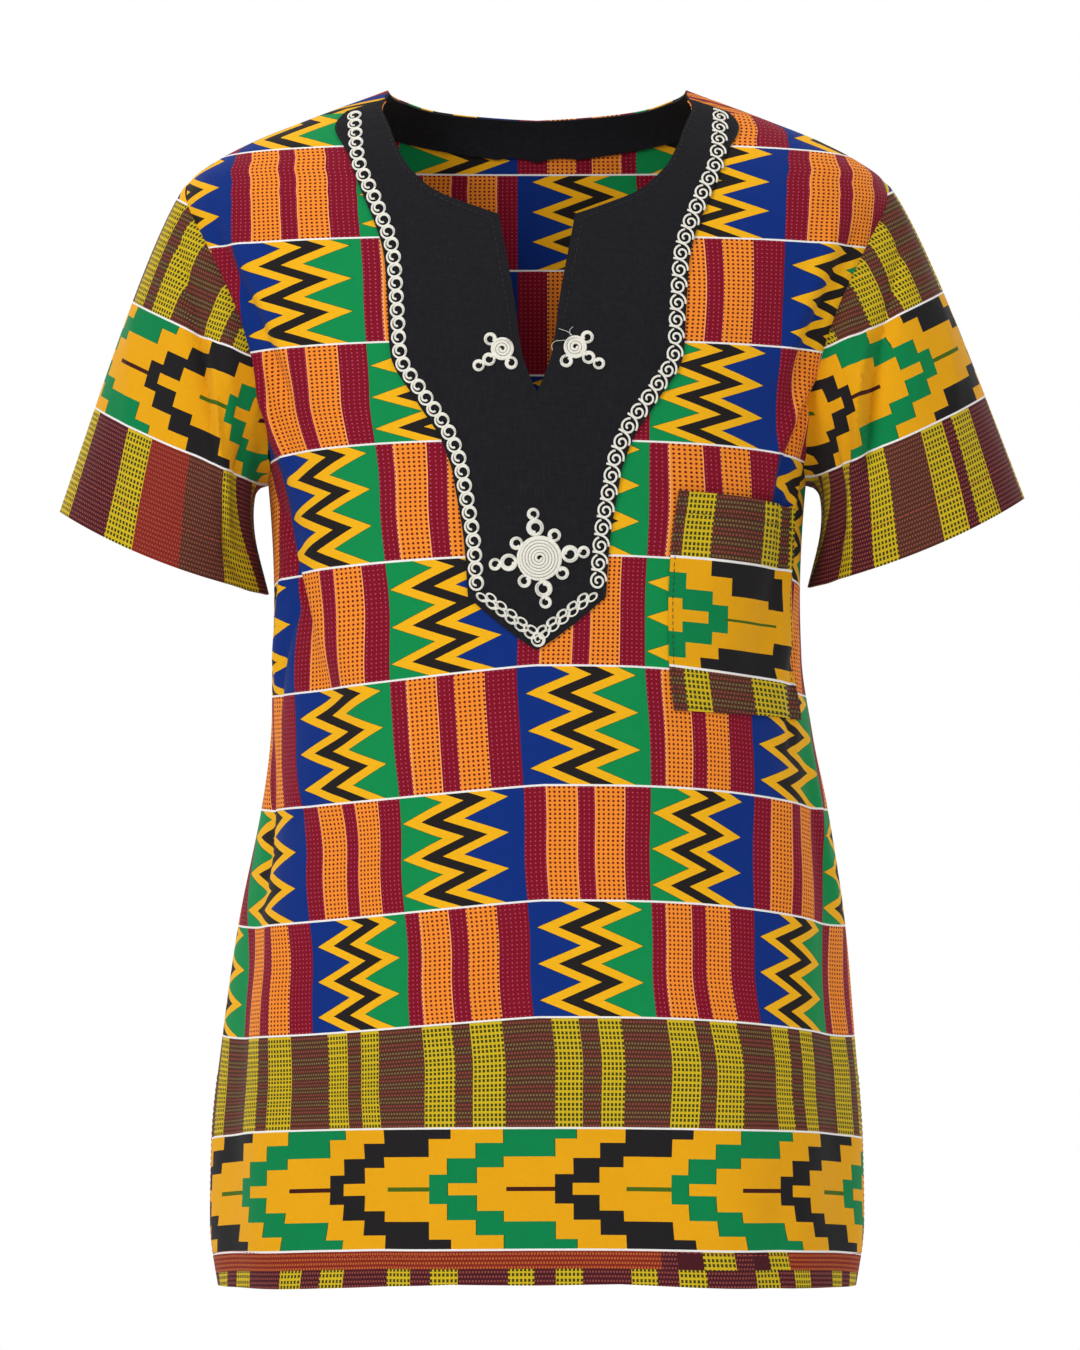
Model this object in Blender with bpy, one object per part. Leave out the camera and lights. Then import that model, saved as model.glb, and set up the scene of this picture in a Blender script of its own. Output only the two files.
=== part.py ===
"""Half-sleeve printed cotton top, in the hollow form that it keeps when worn.

Metres, +Z up. The front faces -Y and the wearer's left is +X. The origin is midway
between the two side neck points, where the wearer's shoulders hold the top.

The body is one smooth surface round the torso. A place on it is an angle and a height:
0 degrees is the centre front, 90 the side, 180 the centre back, and an angle below zero
is on the wearer's right. Each panel is a grid of such places between its own edges.
"""

from collections import namedtuple
from functools import partial

import bmesh
import bpy
import numpy as np

# Cloth and sewing
CLOTH = 0.0014
TRIM_CLOTH = 0.0012
HEM_EXTRA = 0.0009
HEM_DEPTH = 0.024
SEAM_GAP = 0.0003
APPLIED_GAP = 0.0003
BRAID_GAP = 0.0004
BRAID_THICK = 0.0015

# Heights that the cut is planned on
SHOULDER_TIP_Z = -0.057
UNDERARM_Z = -0.252
SLIT_TOP = (0.0237, -0.0866)
SLIT_END_Z = -0.1985
YOKE_CORNER_Z = -0.325
YOKE_TIP_Z = -0.3575
VENT_Z = -0.625
HEM_Z = -0.765
HEM_FRONT_RISE = 0.015
VENT_SPREAD = 5.0

# Roundness of the torso's cross-section: 1 is an ellipse, less is squarer
ROUNDNESS = 0.87

# The torso's sections, from the neck down to the hem
Section = namedtuple("Section", "z half_width front back shift", defaults=(0.0,))
SECTIONS = (
    Section(0.012, 0.070, 0.031, 0.060),
    Section(0.000, 0.097, 0.041, 0.068),
    Section(-0.010, 0.124, 0.048, 0.075),
    Section(-0.020, 0.150, 0.055, 0.081),
    Section(-0.032, 0.180, 0.062, 0.086),
    Section(-0.045, 0.205, 0.070, 0.090),
    Section(-0.057, 0.221, 0.076, 0.093),
    Section(-0.075, 0.229, 0.084, 0.097),
    Section(-0.100, 0.224, 0.093, 0.101),
    Section(-0.150, 0.206, 0.107, 0.106),
    Section(-0.200, 0.187, 0.115, 0.107),
    Section(-0.250, 0.172, 0.119, 0.106),
    Section(-0.325, 0.168, 0.120, 0.103),
    Section(-0.362, 0.169, 0.119, 0.102),
    Section(-0.410, 0.173, 0.118, 0.101, 0.0030),
    Section(-0.458, 0.181, 0.117, 0.103, 0.0048),
    Section(-0.532, 0.194, 0.118, 0.108, 0.0030),
    Section(-0.603, 0.202, 0.120, 0.113, 0.0010),
    Section(-0.670, 0.208, 0.123, 0.117),
    Section(-0.720, 0.209, 0.124, 0.119),
    Section(-0.780, 0.201, 0.123, 0.118),
)

# Soft folds of the body: each runs from one place to another, below zero sinks in
Fold = namedtuple("Fold", "angle_top angle_end z_top z_end width depth")
BODY_FOLDS = (
    Fold(-76, -44, -0.235, -0.420, 8.0, -0.0060),
    Fold(-60, -30, -0.262, -0.430, 9.0, 0.0035),
    Fold(74, 50, -0.235, -0.390, 8.0, -0.0055),
    Fold(58, 36, -0.200, -0.330, 9.0, 0.0030),
    Fold(-74, -66, -0.420, -0.760, 9.0, -0.0060),
    Fold(-52, -48, -0.520, -0.790, 11.0, 0.0045),
    Fold(72, 64, -0.400, -0.760, 9.0, -0.0060),
    Fold(34, 30, -0.560, -0.800, 12.0, 0.0045),
    Fold(8, 6, -0.620, -0.800, 13.0, -0.0035),
    Fold(108, 128, -0.240, -0.420, 9.0, -0.0070),
    Fold(-108, -130, -0.240, -0.440, 9.0, -0.0065),
    Fold(142, 150, -0.300, -0.800, 11.0, -0.0070),
    Fold(-140, -150, -0.320, -0.800, 11.0, -0.0070),
    Fold(112, 114, -0.480, -0.800, 10.0, 0.0055),
    Fold(-114, -116, -0.460, -0.800, 10.0, 0.0055),
    Fold(178, 180, -0.420, -0.800, 14.0, 0.0050),
)

# Points of the seams and edges: the half to the wearer's left, the other half mirrored
SHOULDER_SEAM_NECK = ((0.0955, -0.0090), (0.1080, -0.0130), (0.1200, -0.0170))
SHOULDER_SEAM_ARM = (
    (73.6, -0.0168),
    (83.0, -0.0235),
    (90.0, -0.0370),
    (95.0, -0.0591),
)
FRONT_NECKLINE = (
    (0.0955, -0.0090),
    (0.0924, -0.0290),
    (0.0868, -0.0440),
    (0.0786, -0.0575),
    (0.0627, -0.0715),
    (0.0429, -0.0798),
    SLIT_TOP,
)
SLIT_EDGE = (SLIT_TOP, (0.0139, -0.1405), (0.0097, -0.1720), (0.0, SLIT_END_Z))
YOKE_UPPER = ((0.1200, -0.0170), (0.1170, -0.0506), (0.1057, -0.0803), (0.0949, -0.1131), (0.0922, -0.1470))
YOKE_MIDDLE = ((0.0922, -0.1470), (0.0901, -0.1763), (0.0754, -0.2020), (0.0598, -0.2254))
YOKE_LOWER = ((0.0598, -0.2254), (0.0520, -0.2470))
YOKE_HIP = ((0.0520, -0.2470), (0.0505, -0.2560))
YOKE_FOOT = ((0.0505, -0.2560), (0.0448, -0.2910), (0.0424, YOKE_CORNER_Z))
BACK_NECKLINE = (
    (70.0, -0.0015),
    (90.0, 0.0008),
    (120.0, -0.0010),
    (150.0, -0.0060),
    (180.0, -0.0100),
)
BACK_FACING_EDGE = (
    (76.0, -0.0105),
    (90.0, -0.0090),
    (120.0, -0.0120),
    (150.0, -0.0240),
    (173.9, -0.0340),
)

# Armhole: how far it is scooped into the front and the back, and where the seam meets it
ARMHOLE_SCOOP_FRONT = 27.0
ARMHOLE_SCOOP_BACK = 24.0
SEAM_AT_ARMHOLE = -12.0

# Sleeve: the cuff is a flattened ring with a pressed outer corner
Cuff = namedtuple("Cuff", "outer inner")
CUFF_LEFT = Cuff((0.3120, -0.2600), (0.1730, -0.3170))
CUFF_RIGHT = Cuff((0.3055, -0.2685), (0.1715, -0.3215))
CUFF_HALF_DEPTH = 0.051
CUFF_POINTED = 1.22
CUFF_DROOP = 0.006
SLEEVE_ROWS = 9
SLEEVE_CAP_RISE = 0.0065
SLEEVE_FRONT_ROUND = 0.013
SLEEVE_OFF_BODY = 0.011
SleeveFold = namedtuple("SleeveFold", "angle_top angle_end t_top t_end width depth")
SLEEVE_FOLDS = (
    SleeveFold(62, 100, 0.02, 0.62, 13.0, -0.0060),
    SleeveFold(84, 128, 0.05, 0.80, 14.0, 0.0050),
    SleeveFold(118, 146, 0.10, 1.10, 13.0, -0.0050),
    SleeveFold(-70, -104, 0.02, 0.70, 13.0, -0.0060),
    SleeveFold(-100, -132, 0.08, 0.95, 14.0, 0.0050),
    SleeveFold(-126, -150, 0.15, 1.10, 12.0, -0.0050),
)

# Columns of a half panel: three to the yoke's edge, then fractions of the way to the side
YOKE_COLUMNS = 3
PAST_YOKE = (0.0, 0.06, 0.118, 0.176, 0.29, 0.41, 0.53, 0.645, 0.76, 0.88, 1.0)
POCKET_FIRST, POCKET_LAST = 6, 11

# Heights of the rows that the panels share, at the centre and at the side: the cloth's
# grain sinks towards the sides
LOWER_HEIGHTS = (
    (-0.2470, UNDERARM_Z),
    (-0.2560, -0.2720),
    (YOKE_CORNER_Z, -0.3340),
    (YOKE_TIP_Z, -0.3670),
    (-0.3930, -0.4040),
    (-0.6150, VENT_Z),
)

# Pocket mouth: how far it stands off the front in the middle
POCKET_MOUTH_STAND = 0.0022

# Scroll braid: pitch and width of its scallops
BRAID_PITCH = 0.0087
BRAID_WIDE = 0.0046
BRAID_NARROW = 0.0034
BRAID_INSET = 0.0059

# Corded rosettes: rings round a disc, in metres and degrees
Ring = namedtuple("Ring", "distance angle radius hole")
ROSETTE_DISC = 0.0140
ROSETTE_CENTRE = (0.0015, -0.3012)
ROSETTE_TURN = 8.0
ROSETTE_RINGS = tuple(
    ring
    for quarter in range(4)
    for ring in (
        Ring(0.0190, 90.0 * quarter + ROSETTE_TURN, 0.0057, 0.0016),
        Ring(0.0274, 90.0 * quarter + ROSETTE_TURN, 0.0039, 0.0015),
        Ring(0.0168, 90.0 * quarter + ROSETTE_TURN + 49.0, 0.0042, 0.0016),
    )
)
BUD_DISC = 0.0072
BUD_LEFT = (0.0236, -0.1708)
BUD_RIGHT = (-0.0213, -0.1720)
BUD_RINGS = (
    Ring(0.0096, 40.0, 0.0041, 0.0015),
    Ring(0.0103, 238.0, 0.0041, 0.0015),
    Ring(0.0105, 322.0, 0.0042, 0.0015),
    Ring(0.0178, 325.0, 0.0038, 0.0015),
)
DISC_SIDES = 16
RING_SIDES = 10
HOLE_SIDES = 6

# Surface colours
PRINT_COTTON = ("print_cotton", (0.42, 0.16, 0.04), 0.80)
BLACK_COTTON = ("black_cotton", (0.012, 0.012, 0.015), 0.85)
IVORY_CORD = ("ivory_cord", (0.76, 0.73, 0.62), 0.75)


def hermite_slopes(x, y):
    """Slopes that carry a smooth curve through the points without overshooting them."""
    step = np.diff(x)
    rise = np.diff(y) / step
    slope = np.zeros(len(x))
    slope[0], slope[-1] = rise[0], rise[-1]
    for i in range(1, len(x) - 1):
        if rise[i - 1] * rise[i] > 0:
            before, after = 2 * step[i] + step[i - 1], step[i] + 2 * step[i - 1]
            slope[i] = (before + after) / (before / rise[i - 1] + after / rise[i])
    return slope


def smooth_through(x, y, at):
    """Value at each place of a smooth curve through the points."""
    x, y, at = np.asarray(x, float), np.asarray(y, float), np.asarray(at, float)
    slope = hermite_slopes(x, y)
    i = np.clip(np.searchsorted(x, at) - 1, 0, len(x) - 2)
    step = x[i + 1] - x[i]
    t = (at - x[i]) / step
    return (
        (1 + 2 * t) * (1 - t) ** 2 * y[i]
        + t * (1 - t) ** 2 * step * slope[i]
        + t * t * (3 - 2 * t) * y[i + 1]
        + t * t * (t - 1) * step * slope[i + 1]
    )


def section_value(name, z):
    rows = sorted(SECTIONS)
    return smooth_through([row.z for row in rows], [getattr(row, name) for row in rows], z)


def soft_step(x, low, high):
    """0 below low, 1 above high, and smooth between them."""
    t = np.clip((x - low) / (high - low), 0, 1)
    return t * t * (3 - 2 * t)


def fold_height(fold, across, along, first, last):
    """Height of one fold where it lies across and along its run, with soft ends."""
    t = (along - first) / (last - first)
    middle = fold.angle_top + (fold.angle_end - fold.angle_top) * t
    off = (across - middle + 180) % 360 - 180
    fade = soft_step(t, -0.08, 0.30) * (1 - soft_step(t, 0.72, 1.10))
    return fold.depth * np.exp(-((off / fold.width) ** 2)) * fade


def torso_plain(angle, z):
    """The torso's surface before its folds."""
    turn = np.radians(angle)
    sine, cosine = np.sin(turn), np.cos(turn)
    depth = np.where(cosine >= 0, section_value("front", z), section_value("back", z))
    x = section_value("half_width", z) * np.sign(sine) * np.abs(sine) ** ROUNDNESS
    x = x + section_value("shift", z)
    y = -depth * np.sign(cosine) * np.abs(cosine) ** ROUNDNESS
    return np.stack([x, y, z + 0 * x], axis=-1)


def normal_of(surface, u, v, du, dv):
    """Unit normal of a surface at a place, from its neighbours."""
    across = surface(u + du, v) - surface(u - du, v)
    along = surface(u, v + dv) - surface(u, v - dv)
    normal = np.cross(across, along)
    return normal / np.linalg.norm(normal, axis=-1, keepdims=True)


def torso(angle, z):
    """The torso's outer surface with its folds."""
    angle, z = np.broadcast_arrays(np.asarray(angle, float), np.asarray(z, float))
    height = sum(fold_height(f, angle, z, f.z_top, f.z_end) for f in BODY_FOLDS)
    return torso_plain(angle, z) + normal_of(torso_plain, angle, z, 0.4, 0.0004) * height[..., None]


def torso_normal(angle, z):
    return normal_of(torso, np.asarray(angle, float), np.asarray(z, float), 0.4, 0.0004)


def angle_at(x, z):
    """The angle at which the front surface has this x."""
    share = np.clip(np.abs(x) / section_value("half_width", z), 0, 1)
    return np.degrees(np.arcsin(share ** (1 / ROUNDNESS))) * np.sign(x)


def places_of(points):
    """Front-view points as angle and height."""
    points = np.array(points, float)
    return np.stack([angle_at(points[:, 0], points[:, 1]), points[:, 1]], axis=1)


def along_path(places, rows):
    """Evenly spaced places on a smooth curve through the given ones."""
    places = np.array(places, float)
    steps = np.diff(places, axis=0) * (0.0022, 1.0)
    length = np.concatenate([[0], np.cumsum(np.linalg.norm(steps, axis=1))])
    at = np.linspace(0, length[-1], rows + 1)
    return np.stack([smooth_through(length, places[:, k], at) for k in (0, 1)], axis=1)


def straight(first, last, rows):
    return np.linspace(first, last, rows + 1)


def joined(*stretches):
    """Stretches end to end, with each shared place kept once."""
    return np.concatenate([stretches[0]] + [s[1:] for s in stretches[1:]])


def armhole(turn):
    """Place of the armhole's edge: 0 is its top, 180 the underarm, below zero the back."""
    z = SHOULDER_TIP_Z + (UNDERARM_Z - SHOULDER_TIP_Z) * (1 - np.cos(np.radians(turn))) / 2
    sine = np.sin(np.radians(turn))
    scoop = np.where(sine >= 0, ARMHOLE_SCOOP_FRONT, ARMHOLE_SCOOP_BACK)
    return np.stack([90 - scoop * sine, z], axis=-1)


def shoulder_seam():
    """Places of the shoulder seam, at the panels' columns."""
    to_yoke = along_path(places_of(SHOULDER_SEAM_NECK), YOKE_COLUMNS)
    rest = along_path((tuple(to_yoke[-1]),) + SHOULDER_SEAM_ARM, 200)
    at = np.array(PAST_YOKE[1:])[:, None] * 200
    beyond = np.array([[np.interp(a, np.arange(201), rest[:, k]) for k in (0, 1)] for a in at[:, 0]])
    return np.concatenate([to_yoke, beyond])


def hem_z(angle):
    """Height of the hem, higher in front where the body lifts it."""
    share = np.clip(np.cos(np.radians(angle)), 0, 1) ** 0.8
    return HEM_Z + HEM_FRONT_RISE * share + 0.0016 * np.sin(np.radians(4.5 * angle + 30))


def panel_places(inner, middle, outer, seam, seam_rows):
    """Angle and height of a half panel's grid, whose first row lies on the shoulder seam."""
    rows = len(inner)
    columns = YOKE_COLUMNS + len(PAST_YOKE)
    grid = np.zeros((rows, columns, 2))
    for c in range(columns):
        if c <= YOKE_COLUMNS:
            grid[:, c] = inner + (middle - inner) * (c / YOKE_COLUMNS)
        else:
            grid[:, c] = middle + (outer - middle) * PAST_YOKE[c - YOKE_COLUMNS]
    fade = np.clip(1 - np.arange(rows) / seam_rows, 0, 1) ** 2
    return grid + fade[:, None, None] * (seam - grid[0])[None]


def side_rows(angle_side, vent_angle, lower_rows):
    """Places down a side seam and its vent, one stretch for each planned height."""
    heights = [height for centre, height in LOWER_HEIGHTS]
    stretches = [
        straight((angle_side, heights[i]), (angle_side, heights[i + 1]), lower_rows[i]) for i in range(5)
    ]
    rows = lower_rows[5]
    t = np.linspace(0, 1, rows + 1)
    angle = angle_side + (vent_angle - angle_side) * t**1.3
    vent = np.stack([angle, VENT_Z + (hem_z(vent_angle) - VENT_Z) * t], axis=1)
    return joined(*stretches, vent)


def column_rows(angle, lower_rows):
    """Places straight down the panel at one angle, from the underarm's height to the hem."""
    heights = [height for height, side in LOWER_HEIGHTS] + [float(hem_z(angle))]
    return joined(
        *[straight((angle, heights[i]), (angle, heights[i + 1]), lower_rows[i]) for i in range(6)]
    )


LOWER_ROWS = (1, 3, 3, 2, 8, 5)
YOKE_FOOT_ROWS = sum(LOWER_ROWS[:2])
NECK_ROWS, SLIT_ROWS, CHEST_ROWS = 6, 5, 3
BACK_NECK_ROWS, BACK_FACING_ROWS, BLADE_ROWS = 5, 3, 6
FRONT_TURNS = (SEAM_AT_ARMHOLE, 80.0, 140.0, 180.0)
BACK_TURNS = (SEAM_AT_ARMHOLE, -75.0, -98.0, -180.0)


def armhole_turns(stations, rows):
    return joined(*[straight(stations[i], stations[i + 1], rows[i]) for i in range(3)])


def front_places():
    """The front's half grid, from the centre or neck edge out to the armhole and side."""
    foot = places_of([YOKE_FOOT[-1]])[0]
    inner = joined(
        along_path(places_of(FRONT_NECKLINE), NECK_ROWS),
        along_path(places_of(SLIT_EDGE), SLIT_ROWS),
        straight((0.0, SLIT_END_Z), (0.0, LOWER_HEIGHTS[0][0]), CHEST_ROWS),
        column_rows(0.0, LOWER_ROWS),
    )
    below = column_rows(foot[0], LOWER_ROWS)
    below[: LOWER_ROWS[0] + 1] = along_path(places_of(YOKE_HIP), LOWER_ROWS[0])
    below[LOWER_ROWS[0] : YOKE_FOOT_ROWS + 1] = along_path(places_of(YOKE_FOOT), LOWER_ROWS[1])
    middle = joined(
        along_path(places_of(YOKE_UPPER), NECK_ROWS),
        along_path(places_of(YOKE_MIDDLE), SLIT_ROWS),
        along_path(places_of(YOKE_LOWER), CHEST_ROWS),
        below,
    )
    outer = joined(
        armhole(armhole_turns(FRONT_TURNS, (NECK_ROWS, SLIT_ROWS, CHEST_ROWS))),
        side_rows(90.0, 90.0 - VENT_SPREAD, LOWER_ROWS),
    )
    return panel_places(inner, middle, outer, shoulder_seam(), 6)


def back_places():
    """The back's half grid, from the neck edge or centre out to the armhole and side."""
    facing_foot = (180.0 - float(angle_at(0.026, -0.052)), -0.052)
    seam = shoulder_seam()
    inner = joined(
        along_path((tuple(seam[0]),) + BACK_NECKLINE, BACK_NECK_ROWS),
        straight((180.0, -0.010), (180.0, -0.036), BACK_FACING_ROWS),
        straight((180.0, -0.036), (180.0, LOWER_HEIGHTS[0][0]), BLADE_ROWS),
        column_rows(180.0, LOWER_ROWS),
    )
    middle = joined(
        along_path((tuple(seam[YOKE_COLUMNS]),) + BACK_FACING_EDGE, BACK_NECK_ROWS),
        straight(BACK_FACING_EDGE[-1], facing_foot, BACK_FACING_ROWS),
        straight(facing_foot, (168.0, LOWER_HEIGHTS[0][0]), BLADE_ROWS),
        column_rows(168.0, LOWER_ROWS),
    )
    outer = joined(
        armhole(armhole_turns(BACK_TURNS, (BACK_NECK_ROWS, BACK_FACING_ROWS, BLADE_ROWS))),
        side_rows(90.0, 90.0 + VENT_SPREAD, LOWER_ROWS),
    )
    return panel_places(inner, middle, outer, seam, 5)


def drawn_in(points, gap):
    """The grid with its top row and outer column drawn in from the seams."""
    points = points.copy()
    for edge, beside in ((np.s_[0], np.s_[1]), (np.s_[:, -1], np.s_[:, -2])):
        way = points[beside] - points[edge]
        along = np.gradient(points[edge], axis=0)
        along /= np.linalg.norm(along, axis=-1, keepdims=True)
        way -= np.sum(way * along, axis=-1, keepdims=True) * along
        points[edge] += way / np.linalg.norm(way, axis=-1, keepdims=True) * gap / 2
    return points


def layer(places, side, lift):
    """Points of a half grid on one side of the body, lifted off the surface by lift."""
    angle, z = side * places[..., 0], places[..., 1]
    return drawn_in(torso(angle, z) + torso_normal(angle, z) * np.asarray(lift)[..., None], SEAM_GAP)


def hem_thickness(z):
    """Cloth thickness, doubled where the hem is turned up."""
    return CLOTH + HEM_EXTRA * soft_step(-z, -HEM_Z - 2.2 * HEM_DEPTH, -HEM_Z - HEM_DEPTH)


def cells(rows, columns):
    """Two triangles for each cell of a grid, split from its outer top to its inner foot."""
    faces = []
    for r in rows:
        for c in columns:
            faces += corner_cell(r, c) + [((r + 1, c), (r + 1, c + 1), (r, c + 1))]
    return faces


def corner_cell(r, c):
    return [((r, c), (r + 1, c), (r, c + 1))]


def pointed_cells(rows, point_row):
    """Cells of the yoke columns down to point_row, and then a point at the centre."""
    faces = cells(range(rows), range(YOKE_COLUMNS))
    for step in range(YOKE_COLUMNS):
        edge = YOKE_COLUMNS - 1 - step
        faces += cells([point_row + step], range(edge)) + corner_cell(point_row + step, edge)
    return faces


def link(name, mesh, material):
    """One named sub-part in the scene, with its own material."""
    slot, colour, roughness = material
    if slot not in bpy.data.materials:
        made = bpy.data.materials.new(slot)
        made.use_nodes = True
        shader = made.node_tree.nodes["Principled BSDF"]
        shader.inputs["Base Color"].default_value = (*colour, 1.0)
        shader.inputs["Roughness"].default_value = roughness
        shader.inputs["Metallic"].default_value = 0.0
    mesh.materials.append(bpy.data.materials[slot])
    mesh.shade_smooth()
    mesh.set_sharp_from_angle(angle=np.radians(50))
    obj = bpy.data.objects.new(name, mesh)
    bpy.data.collections["half_sleeve_top"].objects.link(obj)
    return obj


def wall(name, outer, inner, faces, material):
    """A closed cloth wall between an outer and an inner layer with the same faces."""
    keys = {}
    index = np.array([keys.setdefault(tuple(np.round(p, 7)), len(keys)) for p in outer])
    first = [int(np.argmax(index == k)) for k in range(len(keys))]
    count = len(keys)
    faces = [tuple(int(index[i]) for i in face) for face in faces]
    edges = {(f[i], f[(i + 1) % 3]) for f in faces for i in range(3)}
    every = list(faces) + [tuple(i + count for i in reversed(face)) for face in faces]
    every += [(b, a, a + count, b + count) for a, b in edges if (b, a) not in edges]
    mesh = bpy.data.meshes.new(name)
    points = np.concatenate([outer[first], inner[first]])
    mesh.from_pydata(points.tolist(), [], every)
    solid = bmesh.new()
    solid.from_mesh(mesh)
    loose = [v for v in solid.verts if not v.link_faces]
    bmesh.ops.delete(solid, geom=loose, context="VERTS")
    bmesh.ops.recalc_face_normals(solid, faces=solid.faces[:])
    solid.to_mesh(mesh)
    solid.free()
    return link(name, mesh, material)


def both_sides(places, lift_outer, lift_inner):
    """Outer and inner points of the two halves of a panel, one after the other."""
    outer = np.concatenate([layer(places, s, lift_outer).reshape(-1, 3) for s in (1, -1)])
    inner = np.concatenate([layer(places, s, lift_inner).reshape(-1, 3) for s in (1, -1)])
    return outer, inner


def both_faces(faces, shape):
    """The faces of the two halves, the second turned round so that both face the same way."""
    rows, columns = shape
    left = [tuple(r * columns + c for r, c in face) for face in faces]
    return left + [tuple(i + rows * columns for i in reversed(face)) for face in left]


def panel(name, places, faces, lift_outer, lift_inner, material):
    """A piece cut on both halves of a panel's grid."""
    flat = np.zeros(places.shape[:2])
    outer, inner = both_sides(places, flat + lift_outer, flat + lift_inner)
    return wall(name, outer, inner, both_faces(faces, places.shape[:2]), material)


def body_panels():
    """Front and back, the yoke on the front and the facing inside the back neck."""
    front, back = front_places(), back_places()
    for name, places in (("front_panel", front), ("back_panel", back)):
        rows, columns = places.shape[:2]
        every = cells(range(rows - 1), range(columns - 1))
        panel(name, places, every, 0.0, -hem_thickness(places[..., 1]), PRINT_COTTON)
    corner_row = NECK_ROWS + SLIT_ROWS + CHEST_ROWS + YOKE_FOOT_ROWS
    yoke = pointed_cells(corner_row, corner_row)
    panel("neck_yoke", front, yoke, APPLIED_GAP + TRIM_CLOTH, APPLIED_GAP, BLACK_COTTON)
    facing = pointed_cells(BACK_NECK_ROWS, BACK_NECK_ROWS)
    under = -CLOTH - APPLIED_GAP
    panel("back_neck_facing", back, facing, under, under - TRIM_CLOTH, BLACK_COTTON)


def chest_pocket():
    """Patch pocket on the wearer's left: the front's own points moved out, open at its top."""
    places = front_places()
    first = NECK_ROWS + SLIT_ROWS + CHEST_ROWS + LOWER_ROWS[0]
    last = first + sum(LOWER_ROWS[1:4])
    places = places[first : last + 1, POCKET_FIRST : POCKET_LAST + 1]
    rows, columns = places.shape[:2]
    across = np.sin(np.pi * np.linspace(0, 1, columns))[None, :]
    down = (1 - soft_step(np.linspace(0, 1, rows), 0.0, 0.8))[:, None]
    gap = APPLIED_GAP + POCKET_MOUTH_STAND * across * down
    angle, z = places[..., 0], places[..., 1]
    base, normal = torso(angle, z), torso_normal(angle, z)
    outer = (base + normal * (gap + TRIM_CLOTH)[..., None]).reshape(-1, 3)
    inner = (base + normal * gap[..., None]).reshape(-1, 3)
    faces = cells(range(rows - 1), range(columns - 1))
    flat = [tuple(r * columns + c for r, c in face) for face in faces]
    wall("chest_pocket", outer, inner, flat, PRINT_COTTON)


def cuff_point(cuff, turn):
    """A point of the sleeve's open edge, which hangs lower in its front and back."""
    outer, inner = np.array(cuff.outer), np.array(cuff.inner)
    centre, half = (outer + inner) / 2, (outer - inner) / 2
    down = np.array([half[1], -half[0]]) / np.hypot(*half) * CUFF_DROOP
    sine, cosine = np.sin(np.radians(turn)), np.cos(np.radians(turn))
    x = centre[0] + half[0] * cosine + down[0] * sine**2
    z = centre[1] + half[1] * cosine + down[1] * sine**2
    y = -CUFF_HALF_DEPTH * np.sign(sine) * np.abs(sine) ** CUFF_POINTED
    return np.stack([x, y, z], axis=-1)


def armhole_frame(turn):
    """Point, normal and outward way of the body's armhole edge."""
    place, ahead, behind = armhole(turn), armhole(turn + 0.5), armhole(turn - 0.5)
    point = torso(place[..., 0], place[..., 1])
    normal = torso_normal(place[..., 0], place[..., 1])
    edge = torso(ahead[..., 0], ahead[..., 1]) - torso(behind[..., 0], behind[..., 1])
    away = np.cross(normal, edge)
    away /= np.linalg.norm(away, axis=-1, keepdims=True)
    middle = torso(90.0, (SHOULDER_TIP_Z + UNDERARM_Z) / 2)
    away *= np.sign(np.sum(away * (middle - point), axis=-1, keepdims=True))
    return point, normal, away


def sleeve_plain(cuff, turn, t):
    """The sleeve's surface before its folds, from the armhole at 0 to the cuff at 1."""
    point, normal, away = armhole_frame(turn)
    start = point + (normal + away) * SEAM_GAP
    end = cuff_point(cuff, turn)
    sine, cosine = np.sin(np.radians(turn)), np.cos(np.radians(turn))
    cap = SLEEVE_CAP_RISE * np.clip(cosine, 0, 1) ** 2 * np.sin(np.pi * np.clip(t, 0, 1) ** 0.55)
    round_out = SLEEVE_FRONT_ROUND * sine * np.abs(sine) * np.sin(np.pi * np.clip(t, 0, 1) ** 0.75)
    off_body = SLEEVE_OFF_BODY * np.clip(-cosine, 0, 1) * np.sin(np.pi * np.clip(t, 0, 1) ** 0.5)
    bulge = np.stack([0.92 * cap + off_body, -round_out, 0.39 * cap], axis=-1)
    return start + (end - start) * t[..., None] + bulge


def sleeve_surface(cuff, turn, t):
    """The sleeve's outer surface with its folds."""
    turn, t = np.broadcast_arrays(np.asarray(turn, float), np.asarray(t, float))
    height = sum(fold_height(f, turn, t, f.t_top, f.t_end) for f in SLEEVE_FOLDS)
    beside_body = soft_step(-np.cos(np.radians(turn)), 0.0, 0.8)
    height = height * soft_step(t, 0.0, 0.15) * np.where(height > 0, 1 - beside_body, 1)
    outward = normal_of(partial(sleeve_plain, cuff), turn, np.clip(t, 0.02, 0.98), 0.5, 0.01)
    return sleeve_plain(cuff, turn, t) + outward * height[..., None]


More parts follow.
